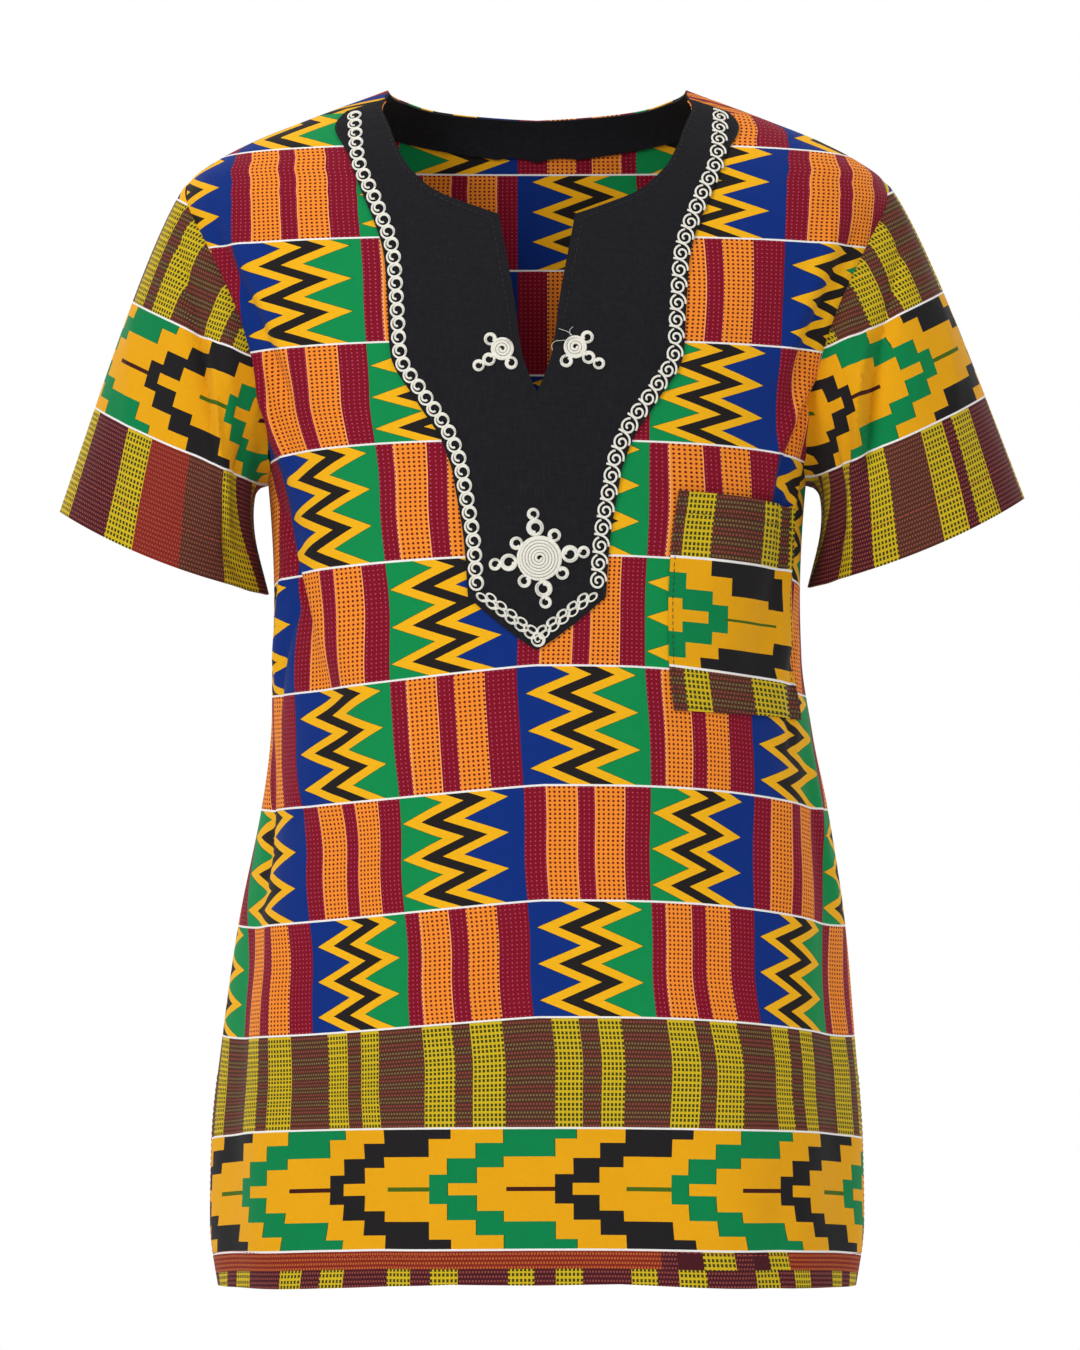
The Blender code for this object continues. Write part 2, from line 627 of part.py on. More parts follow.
def sleeve(name, cuff, side):
    """A set-in sleeve: one tube of cloth from the armhole to the cuff."""
    front = armhole_turns(FRONT_TURNS, (NECK_ROWS, SLIT_ROWS, CHEST_ROWS))
    back = armhole_turns(BACK_TURNS, (BACK_NECK_ROWS, BACK_FACING_ROWS, BLADE_ROWS))
    turns = np.concatenate([front, back[::-1][1:-1] + 360.0])
    turn, t = np.meshgrid(turns, np.linspace(0, 1, SLEEVE_ROWS + 1))
    surface = partial(sleeve_surface, cuff)
    outer = surface(turn, t)
    outward = normal_of(surface, turn, np.clip(t, 0.02, 0.98), 0.5, 0.01)
    away = armhole_frame(turn[0])[2]
    lean = np.minimum(np.sum(-outward[0] * away, axis=-1, keepdims=True), 0)
    inward = -outward
    inward[0] -= lean * away
    inward /= np.linalg.norm(inward, axis=-1, keepdims=True)
    thick = CLOTH + HEM_EXTRA * soft_step(t, 0.78, 0.89)
    inner = outer + inward * thick[..., None]
    mirror = np.array([side, 1, 1])
    rows, columns = turn.shape
    faces = []
    for r in range(rows - 1):
        for c in range(columns):
            d = (c + 1) % columns
            corners = (r * columns + c, r * columns + d, (r + 1) * columns + d, (r + 1) * columns + c)
            faces += [(corners[0], corners[1], corners[2]), (corners[0], corners[2], corners[3])]
    wall(name, outer.reshape(-1, 3) * mirror, inner.reshape(-1, 3) * mirror, faces, PRINT_COTTON)


def on_yoke(x, z, lift):
    """Point above the yoke's outer face, at a front-view place."""
    angle = angle_at(x, z)
    above = APPLIED_GAP + TRIM_CLOTH + BRAID_GAP + lift
    return torso(angle, z) + torso_normal(angle, z) * np.asarray(above)[..., None]


def braid_line():
    """Middle of the braid in front view, spaced half a scallop apart, from shoulder to point."""
    edge = np.array(YOKE_UPPER + YOKE_MIDDLE[1:] + YOKE_LOWER[1:] + YOKE_HIP[1:] + YOKE_FOOT[1:])
    length = np.concatenate([[0], np.cumsum(np.linalg.norm(np.diff(edge, axis=0), axis=1))])
    fine = np.linspace(0.002, length[-1] - 0.004, 160)
    curve = np.stack([smooth_through(length, edge[:, k], fine) for k in (0, 1)], axis=1)
    way = np.gradient(curve, axis=0)
    way /= np.linalg.norm(way, axis=1, keepdims=True)
    inset = curve + np.stack([way[:, 1], -way[:, 0]], axis=1) * BRAID_INSET
    point = np.array([BRAID_NARROW + 0.0004, YOKE_TIP_Z + 1.35 * BRAID_INSET])
    line = np.concatenate([inset, [point]])
    length = np.concatenate([[0], np.cumsum(np.linalg.norm(np.diff(line, axis=0), axis=1))])
    count = 2 * round(length[-1] / BRAID_PITCH)
    at = np.linspace(0, length[-1], count + 1)
    return np.stack([np.interp(at, length, line[:, k]) for k in (0, 1)], axis=1)


def yoke_braid(name, side):
    """Scalloped strip of scroll braid along one side of the yoke, down to its point."""
    line = braid_line()
    way = np.gradient(line, axis=0)
    way /= np.linalg.norm(way, axis=1, keepdims=True)
    cross = np.stack([way[:, 1], -way[:, 0]], axis=1)
    half = np.where(np.arange(len(line)) % 2 == 1, BRAID_WIDE, BRAID_NARROW)[:, None]
    inner_edge, outer_edge = line + cross * half, line - cross * half
    inner_edge[:, 0] = np.maximum(inner_edge[:, 0], SEAM_GAP)
    outer_edge[:, 0] = np.maximum(outer_edge[:, 0], SEAM_GAP)
    strip = np.stack([inner_edge, outer_edge], axis=1)
    x, z = side * strip[..., 0], strip[..., 1]
    top = on_yoke(x, z, np.full(x.shape, BRAID_THICK)).reshape(-1, 3)
    foot = on_yoke(x, z, np.zeros(x.shape)).reshape(-1, 3)
    faces = []
    for i in range(len(line) - 1):
        a, b, c, d = 2 * i, 2 * i + 1, 2 * i + 3, 2 * i + 2
        faces += [(a, b, c), (a, c, d)]
    wall(name, top, foot, faces, IVORY_CORD)


def peg(radius, sides, centre, depth):
    """A flat-ended cylinder along Y, as a bmesh, for joining and cutting."""
    solid = bmesh.new()
    bmesh.ops.create_cone(
        solid, cap_ends=True, segments=sides, radius1=radius, radius2=radius, depth=depth
    )
    for vertex in solid.verts:
        x, y, z = vertex.co
        vertex.co = (centre[0] + x, -z, centre[1] + y)
    return solid


def helper(name, solid):
    """A hidden mesh object that another one is joined with or cut by."""
    mesh = bpy.data.meshes.new(name)
    solid.to_mesh(mesh)
    solid.free()
    obj = bpy.data.objects.new(name, mesh)
    bpy.data.collections["cutters"].objects.link(obj)
    obj.hide_render = True
    obj.display_type = "WIRE"
    return obj


def rosette(name, centre, disc, rings, flip):
    """A flat corded motif, a disc with rings round it, laid on the yoke."""
    base = helper(name + "_disc", peg(disc, DISC_SIDES, (0.0, 0.0), BRAID_THICK))
    steps = []
    for number, ring in enumerate(rings):
        turn = np.radians(ring.angle)
        place = (flip * ring.distance * np.cos(turn), ring.distance * np.sin(turn))
        body = helper(f"{name}_ring_{number}", peg(ring.radius, RING_SIDES, place, BRAID_THICK))
        hole = helper(f"{name}_hole_{number}", peg(ring.hole, HOLE_SIDES, place, 3 * BRAID_THICK))
        steps.append(("UNION", body))
        steps.append(("DIFFERENCE", hole))
    for operation, other in sorted(steps, key=lambda step: step[0], reverse=True):
        modifier = base.modifiers.new(other.name, "BOOLEAN")
        modifier.operation = operation
        modifier.object = other
    bpy.context.view_layer.update()
    flat = bpy.data.meshes.new_from_object(base.evaluated_get(bpy.context.evaluated_depsgraph_get()))
    solid = bmesh.new()
    solid.from_mesh(flat)
    bmesh.ops.remove_doubles(solid, verts=solid.verts[:], dist=0.00005)
    bmesh.ops.triangulate(solid, faces=solid.faces[:])
    points = np.array([vertex.co for vertex in solid.verts])
    lift = np.where(points[:, 1] < 0, BRAID_THICK, 0.0)
    laid = on_yoke(points[:, 0] + centre[0], points[:, 2] + centre[1], lift)
    for vertex, point in zip(solid.verts, laid):
        vertex.co = point
    solid.normal_update()
    bmesh.ops.recalc_face_normals(solid, faces=solid.faces[:])
    mesh = bpy.data.meshes.new(name)
    solid.to_mesh(mesh)
    solid.free()
    link(name, mesh, IVORY_CORD)


def main():
    for obj in list(bpy.data.objects):
        bpy.data.objects.remove(obj)
    for name in ("half_sleeve_top", "cutters"):
        bpy.context.scene.collection.children.link(bpy.data.collections.new(name))
    body_panels()
    chest_pocket()
    sleeve("sleeve_left", CUFF_LEFT, 1)
    sleeve("sleeve_right", CUFF_RIGHT, -1)
    yoke_braid("yoke_braid_left", 1)
    yoke_braid("yoke_braid_right", -1)
    rosette("rosette_centre", ROSETTE_CENTRE, ROSETTE_DISC, ROSETTE_RINGS, 1)
    rosette("rosette_left", BUD_LEFT, BUD_DISC, BUD_RINGS, 1)
    rosette("rosette_right", BUD_RIGHT, BUD_DISC, BUD_RINGS, -1)


main()
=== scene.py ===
"""Dressed scene of a half-sleeve printed cotton top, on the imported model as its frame.

The body of the top is one surface round the torso. A place on it is an angle and a
height: 0 degrees is the centre front, 90 the side seam, 180 the centre back, and an
angle below zero is on the wearer's right. Every cloth piece is a grid of such places.
"""

import logging
from collections.abc import Callable, Sequence
from dataclasses import dataclass, field
from enum import Enum
from typing import Any

import bpy
import numpy as np
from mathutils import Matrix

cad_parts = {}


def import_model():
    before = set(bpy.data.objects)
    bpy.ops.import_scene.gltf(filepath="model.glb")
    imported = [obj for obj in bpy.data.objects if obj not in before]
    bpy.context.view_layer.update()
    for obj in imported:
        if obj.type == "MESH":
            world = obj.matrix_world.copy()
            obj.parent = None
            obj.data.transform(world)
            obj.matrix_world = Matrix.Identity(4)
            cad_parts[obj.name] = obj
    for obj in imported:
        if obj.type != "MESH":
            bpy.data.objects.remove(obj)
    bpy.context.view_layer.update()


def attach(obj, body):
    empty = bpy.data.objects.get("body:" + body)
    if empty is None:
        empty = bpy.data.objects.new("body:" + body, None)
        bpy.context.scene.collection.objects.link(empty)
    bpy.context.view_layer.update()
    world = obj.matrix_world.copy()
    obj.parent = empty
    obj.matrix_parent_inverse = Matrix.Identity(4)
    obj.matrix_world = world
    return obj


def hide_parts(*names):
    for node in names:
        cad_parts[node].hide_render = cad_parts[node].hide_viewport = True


Array = np.ndarray
Colour = tuple[float, float, float]
Size = tuple[float, float, float]
LOG = logging.getLogger("half_sleeve_top")

# Cells of the cloth's mesh for each one of the frame's
FINE = 5
# Thickness of the cloth, what a turned hem adds, the hem's depth and the gap between layers, in metres
CLOTH = 0.0010
TRIM_CLOTH = 0.0010
HEM_EXTRA = 0.0008
HEM_DEPTH = 0.024
LAYER_GAP = 0.0004
# The print: height of a row, and the repeats of its blocks, its strips, and its steps and border
ROW_HEIGHT = 0.0715
REPEAT = 0.156
STRIPS_REPEAT = 0.1545
STEPS_REPEAT = 0.154
# Steps to a neighbouring place, by which the normals of the body and of a sleeve are found
BODY_STEPS = (0.4, 0.0004)
SLEEVE_STEPS = (0.5, 0.01)
# Height of a stitch's middle over the cloth, and of a cord's as a share of its radius
STITCH_LIFT = 0.0001
CORD_SEAT = 0.85


# ---------------------------------------------------------------- curves and folds


def monotone_slopes(x: Array, y: Array) -> Array:
    """Slopes that carry a smooth curve through points without overshooting them.

    Args:
        x: Places of the points, rising.
        y: Their values.

    Returns:
        The slope at each point.
    """
    step = np.diff(x)
    rise = np.diff(y) / step
    slope = np.zeros(len(x))
    slope[0], slope[-1] = rise[0], rise[-1]
    for i in range(1, len(x) - 1):
        if rise[i - 1] * rise[i] > 0:
            before, after = 2 * step[i] + step[i - 1], step[i] + 2 * step[i - 1]
            slope[i] = (before + after) / (before / rise[i - 1] + after / rise[i])
    return slope


def smooth_through(x: Sequence[float], y: Sequence[float], at: Any) -> Array:
    """Value at each place of a smooth curve through the points.

    Args:
        x: Places of the points, rising.
        y: Their values.
        at: Places to read.

    Returns:
        The curve's values there.
    """
    xs, ys, at = np.asarray(x, float), np.asarray(y, float), np.asarray(at, float)
    slope = monotone_slopes(xs, ys)
    i = np.clip(np.searchsorted(xs, at) - 1, 0, len(xs) - 2)
    step = xs[i + 1] - xs[i]
    t = (at - xs[i]) / step
    return (
        (1 + 2 * t) * (1 - t) ** 2 * ys[i]
        + t * (1 - t) ** 2 * step * slope[i]
        + t * t * (3 - 2 * t) * ys[i + 1]
        + t * t * (t - 1) * step * slope[i + 1]
    )


def soft_step(x: Any, low: float, high: float) -> Array:
    """0 below low, 1 above high, and smooth between them."""
    t = np.clip((np.asarray(x, float) - low) / (high - low), 0, 1)
    return t * t * (3 - 2 * t)


def unit(vectors: Array) -> Array:
    """The vectors at length one."""
    return vectors / np.maximum(np.linalg.norm(vectors, axis=-1, keepdims=True), 1e-12)


def run_along(steps: Array) -> Array:
    """Distance along a line at each of its points, from the steps between them."""
    return np.concatenate([[0], np.cumsum(np.linalg.norm(steps, axis=1))])


def read_grid(grid: Array, row: Array, column: Array) -> Array:
    """Value of a grid at places between its points.

    Args:
        grid: The values.
        row: Row of each place, not below 0.
        column: Column of each place, not below 0.

    Returns:
        The values there.
    """
    r = np.minimum(row.astype(int), grid.shape[0] - 2)
    c = np.minimum(column.astype(int), grid.shape[1] - 2)
    down, across = row - r, column - c
    low = grid[r, c] * (1 - across) + grid[r, c + 1] * across
    high = grid[r + 1, c] * (1 - across) + grid[r + 1, c + 1] * across
    return low * (1 - down) + high * down


def normal_of(surface: Callable[..., Array], u: Array, v: Array, du: float, dv: float) -> Array:
    """Unit normal of a surface at a place, from its neighbours.

    Args:
        surface: The surface's function of two numbers.
        u: First number of each place.
        v: Second number of each place.
        du: Step to the neighbours in the first.
        dv: Step to the neighbours in the second.

    Returns:
        The normals.
    """
    across = surface(u + du, v) - surface(u - du, v)
    along = surface(u, v + dv) - surface(u, v - dv)
    return unit(np.cross(across, along))


@dataclass(frozen=True)
class Crease:
    """A soft ridge, or a trough where its depth is below zero, from one place to another."""

    across_first: float
    across_last: float
    along_first: float
    along_last: float
    width: float
    depth: float
    bend: float = 0.0

    def height(self, across: Array, along: Array) -> Array:
        """Height of the crease at each place, with soft ends.

        Args:
            across: Angle of each place.
            along: Height, or share of the sleeve, of each place.

        Returns:
            Metres out of the surface.
        """
        t = (along - self.along_first) / (self.along_last - self.along_first)
        middle = self.across_first + (self.across_last - self.across_first) * t
        middle = middle + self.bend * 4 * t * (1 - t)
        off = (across - middle + 180) % 360 - 180
        fade = soft_step(t, -0.08, 0.30) * (1 - soft_step(t, 0.72, 1.10))
        return self.depth * np.exp(-((off / self.width) ** 2)) * fade


# ---------------------------------------------------------------- form of the body


class Torso:
    """The worn form of the top's body, with its folds and the grain of its cloth."""

    ROUNDNESS = 0.87
    # Levels of the body: z, half width, front depth, back depth, sideways shift
    SECTIONS = (
        (-0.780, 0.201, 0.123, 0.118, 0.0),
        (-0.720, 0.209, 0.124, 0.119, 0.0),
        (-0.670, 0.208, 0.123, 0.117, 0.0),
        (-0.603, 0.202, 0.120, 0.113, 0.0010),
        (-0.532, 0.194, 0.118, 0.108, 0.0030),
        (-0.458, 0.181, 0.117, 0.103, 0.0048),
        (-0.410, 0.173, 0.118, 0.101, 0.0030),
        (-0.362, 0.169, 0.119, 0.102, 0.0),
        (-0.325, 0.168, 0.120, 0.103, 0.0),
        (-0.250, 0.172, 0.119, 0.106, 0.0),
        (-0.200, 0.187, 0.115, 0.107, 0.0),
        (-0.150, 0.206, 0.107, 0.106, 0.0),
        (-0.100, 0.224, 0.093, 0.101, 0.0),
        (-0.075, 0.229, 0.084, 0.097, 0.0),
        (-0.057, 0.221, 0.076, 0.093, 0.0),
        (-0.045, 0.205, 0.070, 0.090, 0.0),
        (-0.032, 0.180, 0.062, 0.086, 0.0),
        (-0.020, 0.150, 0.055, 0.081, 0.0),
        (-0.010, 0.124, 0.048, 0.075, 0.0),
        (0.000, 0.097, 0.041, 0.068, 0.0),
        (0.012, 0.070, 0.031, 0.060, 0.0),
    )
    # Large folds: angles and heights of both ends, half width in degrees, depth
    FOLDS = (
        Crease(-76, -44, -0.235, -0.420, 8.0, -0.0060),
        Crease(-60, -30, -0.262, -0.430, 9.0, 0.0035),
        Crease(74, 50, -0.235, -0.390, 8.0, -0.0055),
        Crease(58, 36, -0.200, -0.330, 9.0, 0.0030),
        Crease(-74, -66, -0.420, -0.760, 9.0, -0.0060),
        Crease(-52, -48, -0.520, -0.790, 11.0, 0.0045),
        Crease(72, 64, -0.400, -0.760, 9.0, -0.0060),
        Crease(34, 30, -0.560, -0.800, 12.0, 0.0045),
        Crease(8, 6, -0.620, -0.800, 13.0, -0.0035),
        Crease(108, 128, -0.240, -0.420, 9.0, -0.0070),
        Crease(-108, -130, -0.240, -0.440, 9.0, -0.0065),
        Crease(142, 150, -0.300, -0.800, 11.0, -0.0070),
        Crease(-140, -150, -0.320, -0.800, 11.0, -0.0070),
        Crease(112, 114, -0.480, -0.800, 10.0, 0.0055),
        Crease(-114, -116, -0.460, -0.800, 10.0, 0.0055),
        Crease(178, 180, -0.420, -0.800, 14.0, 0.0050),
    )
    # Narrow creases: front on the wearer's right, on the left, then the back
    CREASES = (
        Crease(-63, -55, -0.085, -0.215, 2.6, -0.0034, 2.0),
        Crease(-57, -50, -0.070, -0.190, 3.4, 0.0022, 1.0),
        Crease(-66, -61, -0.150, -0.262, 2.6, 0.0030, -2.0),
        Crease(-76, -58, -0.262, -0.345, 2.4, -0.0034, 3.0),
        Crease(-70, -49, -0.272, -0.372, 3.0, 0.0030, 3.0),
        Crease(-68, -76, -0.290, -0.385, 2.6, 0.0026, -3.0),
        Crease(-62, -74, -0.318, -0.402, 2.2, -0.0030, -2.0),
        Crease(-84, -70, -0.400, -0.520, 3.0, -0.0024, 2.0),
        Crease(-40, -58, -0.395, -0.475, 3.4, -0.0012, 1.0),
        Crease(-30, -22, -0.640, -0.780, 4.5, -0.0018, 0.0),
        Crease(62, 56, -0.090, -0.205, 2.6, -0.0036, -2.0),
        Crease(55, 50, -0.075, -0.185, 3.4, 0.0024, -1.0),
        Crease(70, 62, -0.170, -0.290, 2.4, -0.0034, -3.0),
        Crease(65, 54, -0.180, -0.275, 2.6, 0.0030, -3.0),
        Crease(74, 66, -0.225, -0.330, 2.2, 0.0026, 2.0),
        Crease(76, 80, -0.400, -0.530, 3.0, 0.0022, -2.0),
        Crease(80, 62, -0.330, -0.430, 2.6, -0.0024, -3.0),
        Crease(46, 40, -0.660, -0.790, 4.5, -0.0016, 0.0),
        Crease(122, 140, -0.090, -0.240, 3.4, -0.0032, 2.0),
        Crease(130, 146, -0.110, -0.270, 3.0, 0.0026, 2.0),
        Crease(-124, -139, -0.085, -0.230, 3.4, -0.0032, -2.0),
        Crease(-131, -148, -0.120, -0.290, 3.0, 0.0026, -3.0),
        Crease(104, 132, -0.262, -0.372, 2.8, 0.0030, -4.0),
        Crease(-103, -134, -0.268, -0.390, 2.8, 0.0030, 4.0),
        Crease(160, 157, -0.350, -0.560, 4.0, -0.0026, 3.0),
        Crease(-164, -160, -0.390, -0.620, 4.2, -0.0024, -3.0),
        Crease(126, 131, -0.430, -0.690, 3.6, -0.0024, 2.0),
        Crease(-127, -133, -0.450, -0.710, 3.6, -0.0022, -2.0),
        Crease(172, 186, -0.180, -0.300, 4.0, -0.0014, 2.0),
    )
    # The hem: its height behind, its rise in front, and the height of its slow wave
    HEM_Z = -0.765
    HEM_FRONT_RISE = 0.015
    HEM_WAVE = 0.0016
    # Heights of the print's white lines down the centre front, and their sinking at the sides
    LINES = (0.022, -0.040, -0.100, -0.166, -0.228, -0.299, -0.367, -0.441, -0.512, -0.584, -0.652, -0.727)
    SINKING = (0.004, 0.004, 0.006, 0.009, 0.016, 0.020, 0.020, 0.018, 0.021, 0.019, 0.019, 0.018)
    # Rows of the print from which and up to which they sink as at the waist
    WAIST_ROWS = (3.5, 5.0, 8.2, 9.0)
    # How far the front's print has slipped, in millimetres: one line per row of the print from
    # the one above the shoulder seam, by distance round from the centre in hundredths of a metre
    SLIP_PLACES = (-19, -16, -13, -10, -7, -3, 3, 7, 10, 13, 16, 19, 22)
    SLIPS = (
        (36, 36, 35, 30, 24, 14, 0, -3, -8, -13, -16, -16, -16),
        (32, 31.3, 29, 24.5, 20, 12, 2, -1, -3, -6, -10, -14, -12),
        (34, 30.5, 26, 21, 16.6, 9, 1, -3, -7, -8.4, -9.4, -12, -12),
        (35, 29, 23.7, 18.2, 13, 6, 0, -0.3, -3.4, -6.5, -9.4, -11.5, -11.7),
        (16, 15, 14.5, 13, 11, 5, 0, 0, -7, -10.5, -11.7, -12, -12),
        (8, 8, 7.7, 6.6, 5.5, 4, 2, 2.7, 0, 0, 0, 0, 0),
        (5.7, 5.7, 6.2, 6.7, 6.5, 5.5, 4.3, 2.5, 4.4, 10, 11, 12, 12),
        (-11, -9, -7.5, 1.6, 5.2, 4.1, 3.9, 4.5, 9, 14, 14, 17.5, 18),
        (-27.5, -23.2, -15.3, -6.5, -1.9, -2.1, -0.7, 0.8, 5.5, 10.2, 17.6, 25.6, 27.7),
        (-31.6, -27.8, -20.1, -8.9, -8.0, -8.4, -8.5, -7.0, -6.0, -2.6, 8.5, 16.1, 18.1),
        (-29, -26, -22.8, -13.8, -8.8, -9.5, -9.7, -5.6, -3.6, -2.4, -0.5, 6.8, 13.8),
        (-18, -14, -12.5, -10.5, -8.8, -9.5, -9.7, -9.6, -10, -13, -16, -8, 5),
    )
    # Factor on the narrow creases' depths
    CREASE_DEPTH = 1.2
    # Where the print starts on the back, from its centre
    BACK_START = 0.021

    def __init__(self) -> None:
        """Prepare the table of distances round the body."""
        self.level = np.linspace(-0.79, 0.02, 60)
        self.turn = np.linspace(0, 180, 361)
        rings = self.plain(self.turn[None, :], self.level[:, None])
        steps = np.linalg.norm(np.diff(rings, axis=1), axis=-1)
        self.arc = np.concatenate([np.zeros((len(self.level), 1)), np.cumsum(steps, axis=1)], axis=1)

    def section(self, column: int, z: Array) -> Array:
        """One measure of the torso's section at each height."""
        return smooth_through([row[0] for row in self.SECTIONS], [row[column] for row in self.SECTIONS], z)

    def plain(self, angle: Array, z: Array) -> Array:
        """The torso's surface before its folds.

        Args:
            angle: Degrees round from the centre front.
            z: Height.

        Returns:
            Points in metres.
        """
        turn = np.radians(angle)
        sine, cosine = np.sin(turn), np.cos(turn)
        depth = np.where(cosine >= 0, self.section(2, z), self.section(3, z))
        x = self.section(1, z) * np.sign(sine) * np.abs(sine) ** self.ROUNDNESS + self.section(4, z)
        y = -depth * np.sign(cosine) * np.abs(cosine) ** self.ROUNDNESS
        return np.stack([x, y, z + 0 * x], axis=-1)

    def surface(self, angle: Array, z: Array) -> Array:
        """The torso's outer surface with its folds and narrow creases.

        Args:
            angle: Degrees round from the centre front.
            z: Height.

        Returns:
            Points in metres.
        """
        angle, z = np.broadcast_arrays(np.asarray(angle, float), np.asarray(z, float))
        height = sum(fold.height(angle, z) for fold in self.FOLDS)
        height = height + self.CREASE_DEPTH * sum(crease.height(angle, z) for crease in self.CREASES)
        return self.plain(angle, z) + normal_of(self.plain, angle, z, *BODY_STEPS) * height[..., None]

    def normal(self, angle: Array, z: Array) -> Array:
        """Outward normals of the surface."""
        return normal_of(self.surface, np.asarray(angle, float), np.asarray(z, float), *BODY_STEPS)

    def angle_at(self, x: Array, z: Array) -> Array:
        """The angle at which the front surface has this x."""
        share = np.clip(np.abs(x) / self.section(1, z), 0, 1)
        return np.degrees(np.arcsin(share ** (1 / self.ROUNDNESS))) * np.sign(x)

    def places(self, points: Sequence[tuple[float, float]]) -> Array:
        """Front-view points as angle and height."""
        flat = np.array(points, float)
        return np.stack([self.angle_at(flat[:, 0], flat[:, 1]), flat[:, 1]], axis=1)

    def hem_z(self, angle: Any) -> Array:
        """Height of the hem, higher in front where the body lifts it."""
        share = np.clip(np.cos(np.radians(angle)), 0, 1) ** 0.8
        return self.HEM_Z + self.HEM_FRONT_RISE * share + self.HEM_WAVE * np.sin(np.radians(4.5 * angle + 30))

    def distance_round(self, angle: Array, z: Array) -> Array:
        """Metres round the body from the centre front, below zero on the wearer's right.

        Args:
            angle: Degrees round from the centre front.
            z: Height.

        Returns:
            The distances.
        """
        row = np.clip((z - self.level[0]) / (self.level[1] - self.level[0]), 0, len(self.level) - 1.001)
        column = np.clip(np.abs(angle) * 2, 0, 359.999)
        return read_grid(self.arc, row, column) * np.sign(angle)

    def slip(self, across: Array, row: Array) -> Array:
        """How far the front's print has slipped round the body, in metres.

        Args:
            across: Distance round from the centre front.
            row: Row of the print.

        Returns:
            The slips.
        """
        table, places = np.array(self.SLIPS) / 1000, np.array(self.SLIP_PLACES) / 100
        at = np.clip(row + 0.5, 0, len(table) - 1.001)
        share = at - np.floor(at)
        at = np.floor(at) + share * share * (3 - 2 * share)
        column = np.interp(across, places, np.arange(len(places), dtype=float)).clip(0, len(places) - 1.001)
        return read_grid(table, at, column)

    def grain(self, angle: Array, z: Array, on_front: bool) -> Array:
        """Place of each point on the printed cloth: metres across it, and its row of the print.

        Args:
            angle: Degrees round from the centre front.
            z: Height.
            on_front: Whether the cloth is the front panel's.

        Returns:
            Both numbers, stacked last.
        """
        lines, rows = np.array(self.LINES)[::-1], np.arange(len(self.LINES))[::-1] - 1.0
        turn = np.radians(np.clip(np.abs(angle), 0, 90))
        sinking, even = np.array(self.SINKING)[::-1], 1 - np.cos(turn) ** 0.8
        waist = np.where(np.asarray(angle) < 0, np.sin(turn), np.sin(turn) ** 2.6)
        row = np.interp(z, lines, rows)
        for _ in range(5):
            at_waist = soft_step(row, *self.WAIST_ROWS[:2]) * (1 - soft_step(row, *self.WAIST_ROWS[2:]))
            side = even + (waist - even) * at_waist
            level = z + np.interp(row, rows[::-1], sinking[::-1]) * side
            row = np.interp(level, lines, rows)
            row = row + np.clip(lines[0] - level, 0, None) / ROW_HEIGHT
        across = self.distance_round(angle, z)
        if on_front:
            return np.stack([across + self.slip(across, row), row], axis=-1)
        half = self.distance_round(np.full_like(across, 180.0), z)
        return np.stack([np.sign(across) * (np.abs(across) - half) - self.BACK_START, row], axis=-1)


# ---------------------------------------------------------------- grids of places


# Metres to a degree round the body, nearly, and how a vent's edges part on the way down
METRES_A_DEGREE = 0.0022
VENT_CURVE = 1.3


def along_path(places: Any, rows: int) -> Array:
    """Evenly spaced places on a smooth curve through the given ones.

    Args:
        places: Angle and height of the curve's points.
        rows: Number of steps.

    Returns:
        One place more than the steps.
    """
    path = np.array(places, float)
    length = run_along(np.diff(path, axis=0) * (METRES_A_DEGREE, 1.0))
    at = np.linspace(0, length[-1], rows + 1)
    return np.stack([smooth_through(length, path[:, k], at) for k in (0, 1)], axis=1)


def straight(first: Any, last: Any, rows: int) -> Array:
    """Evenly spaced places on a straight line."""
    return np.linspace(first, last, rows + 1)


def joined(*stretches: Array) -> Array:
    """Stretches end to end, with each shared place kept once."""
    return np.concatenate([stretches[0]] + [stretch[1:] for stretch in stretches[1:]])


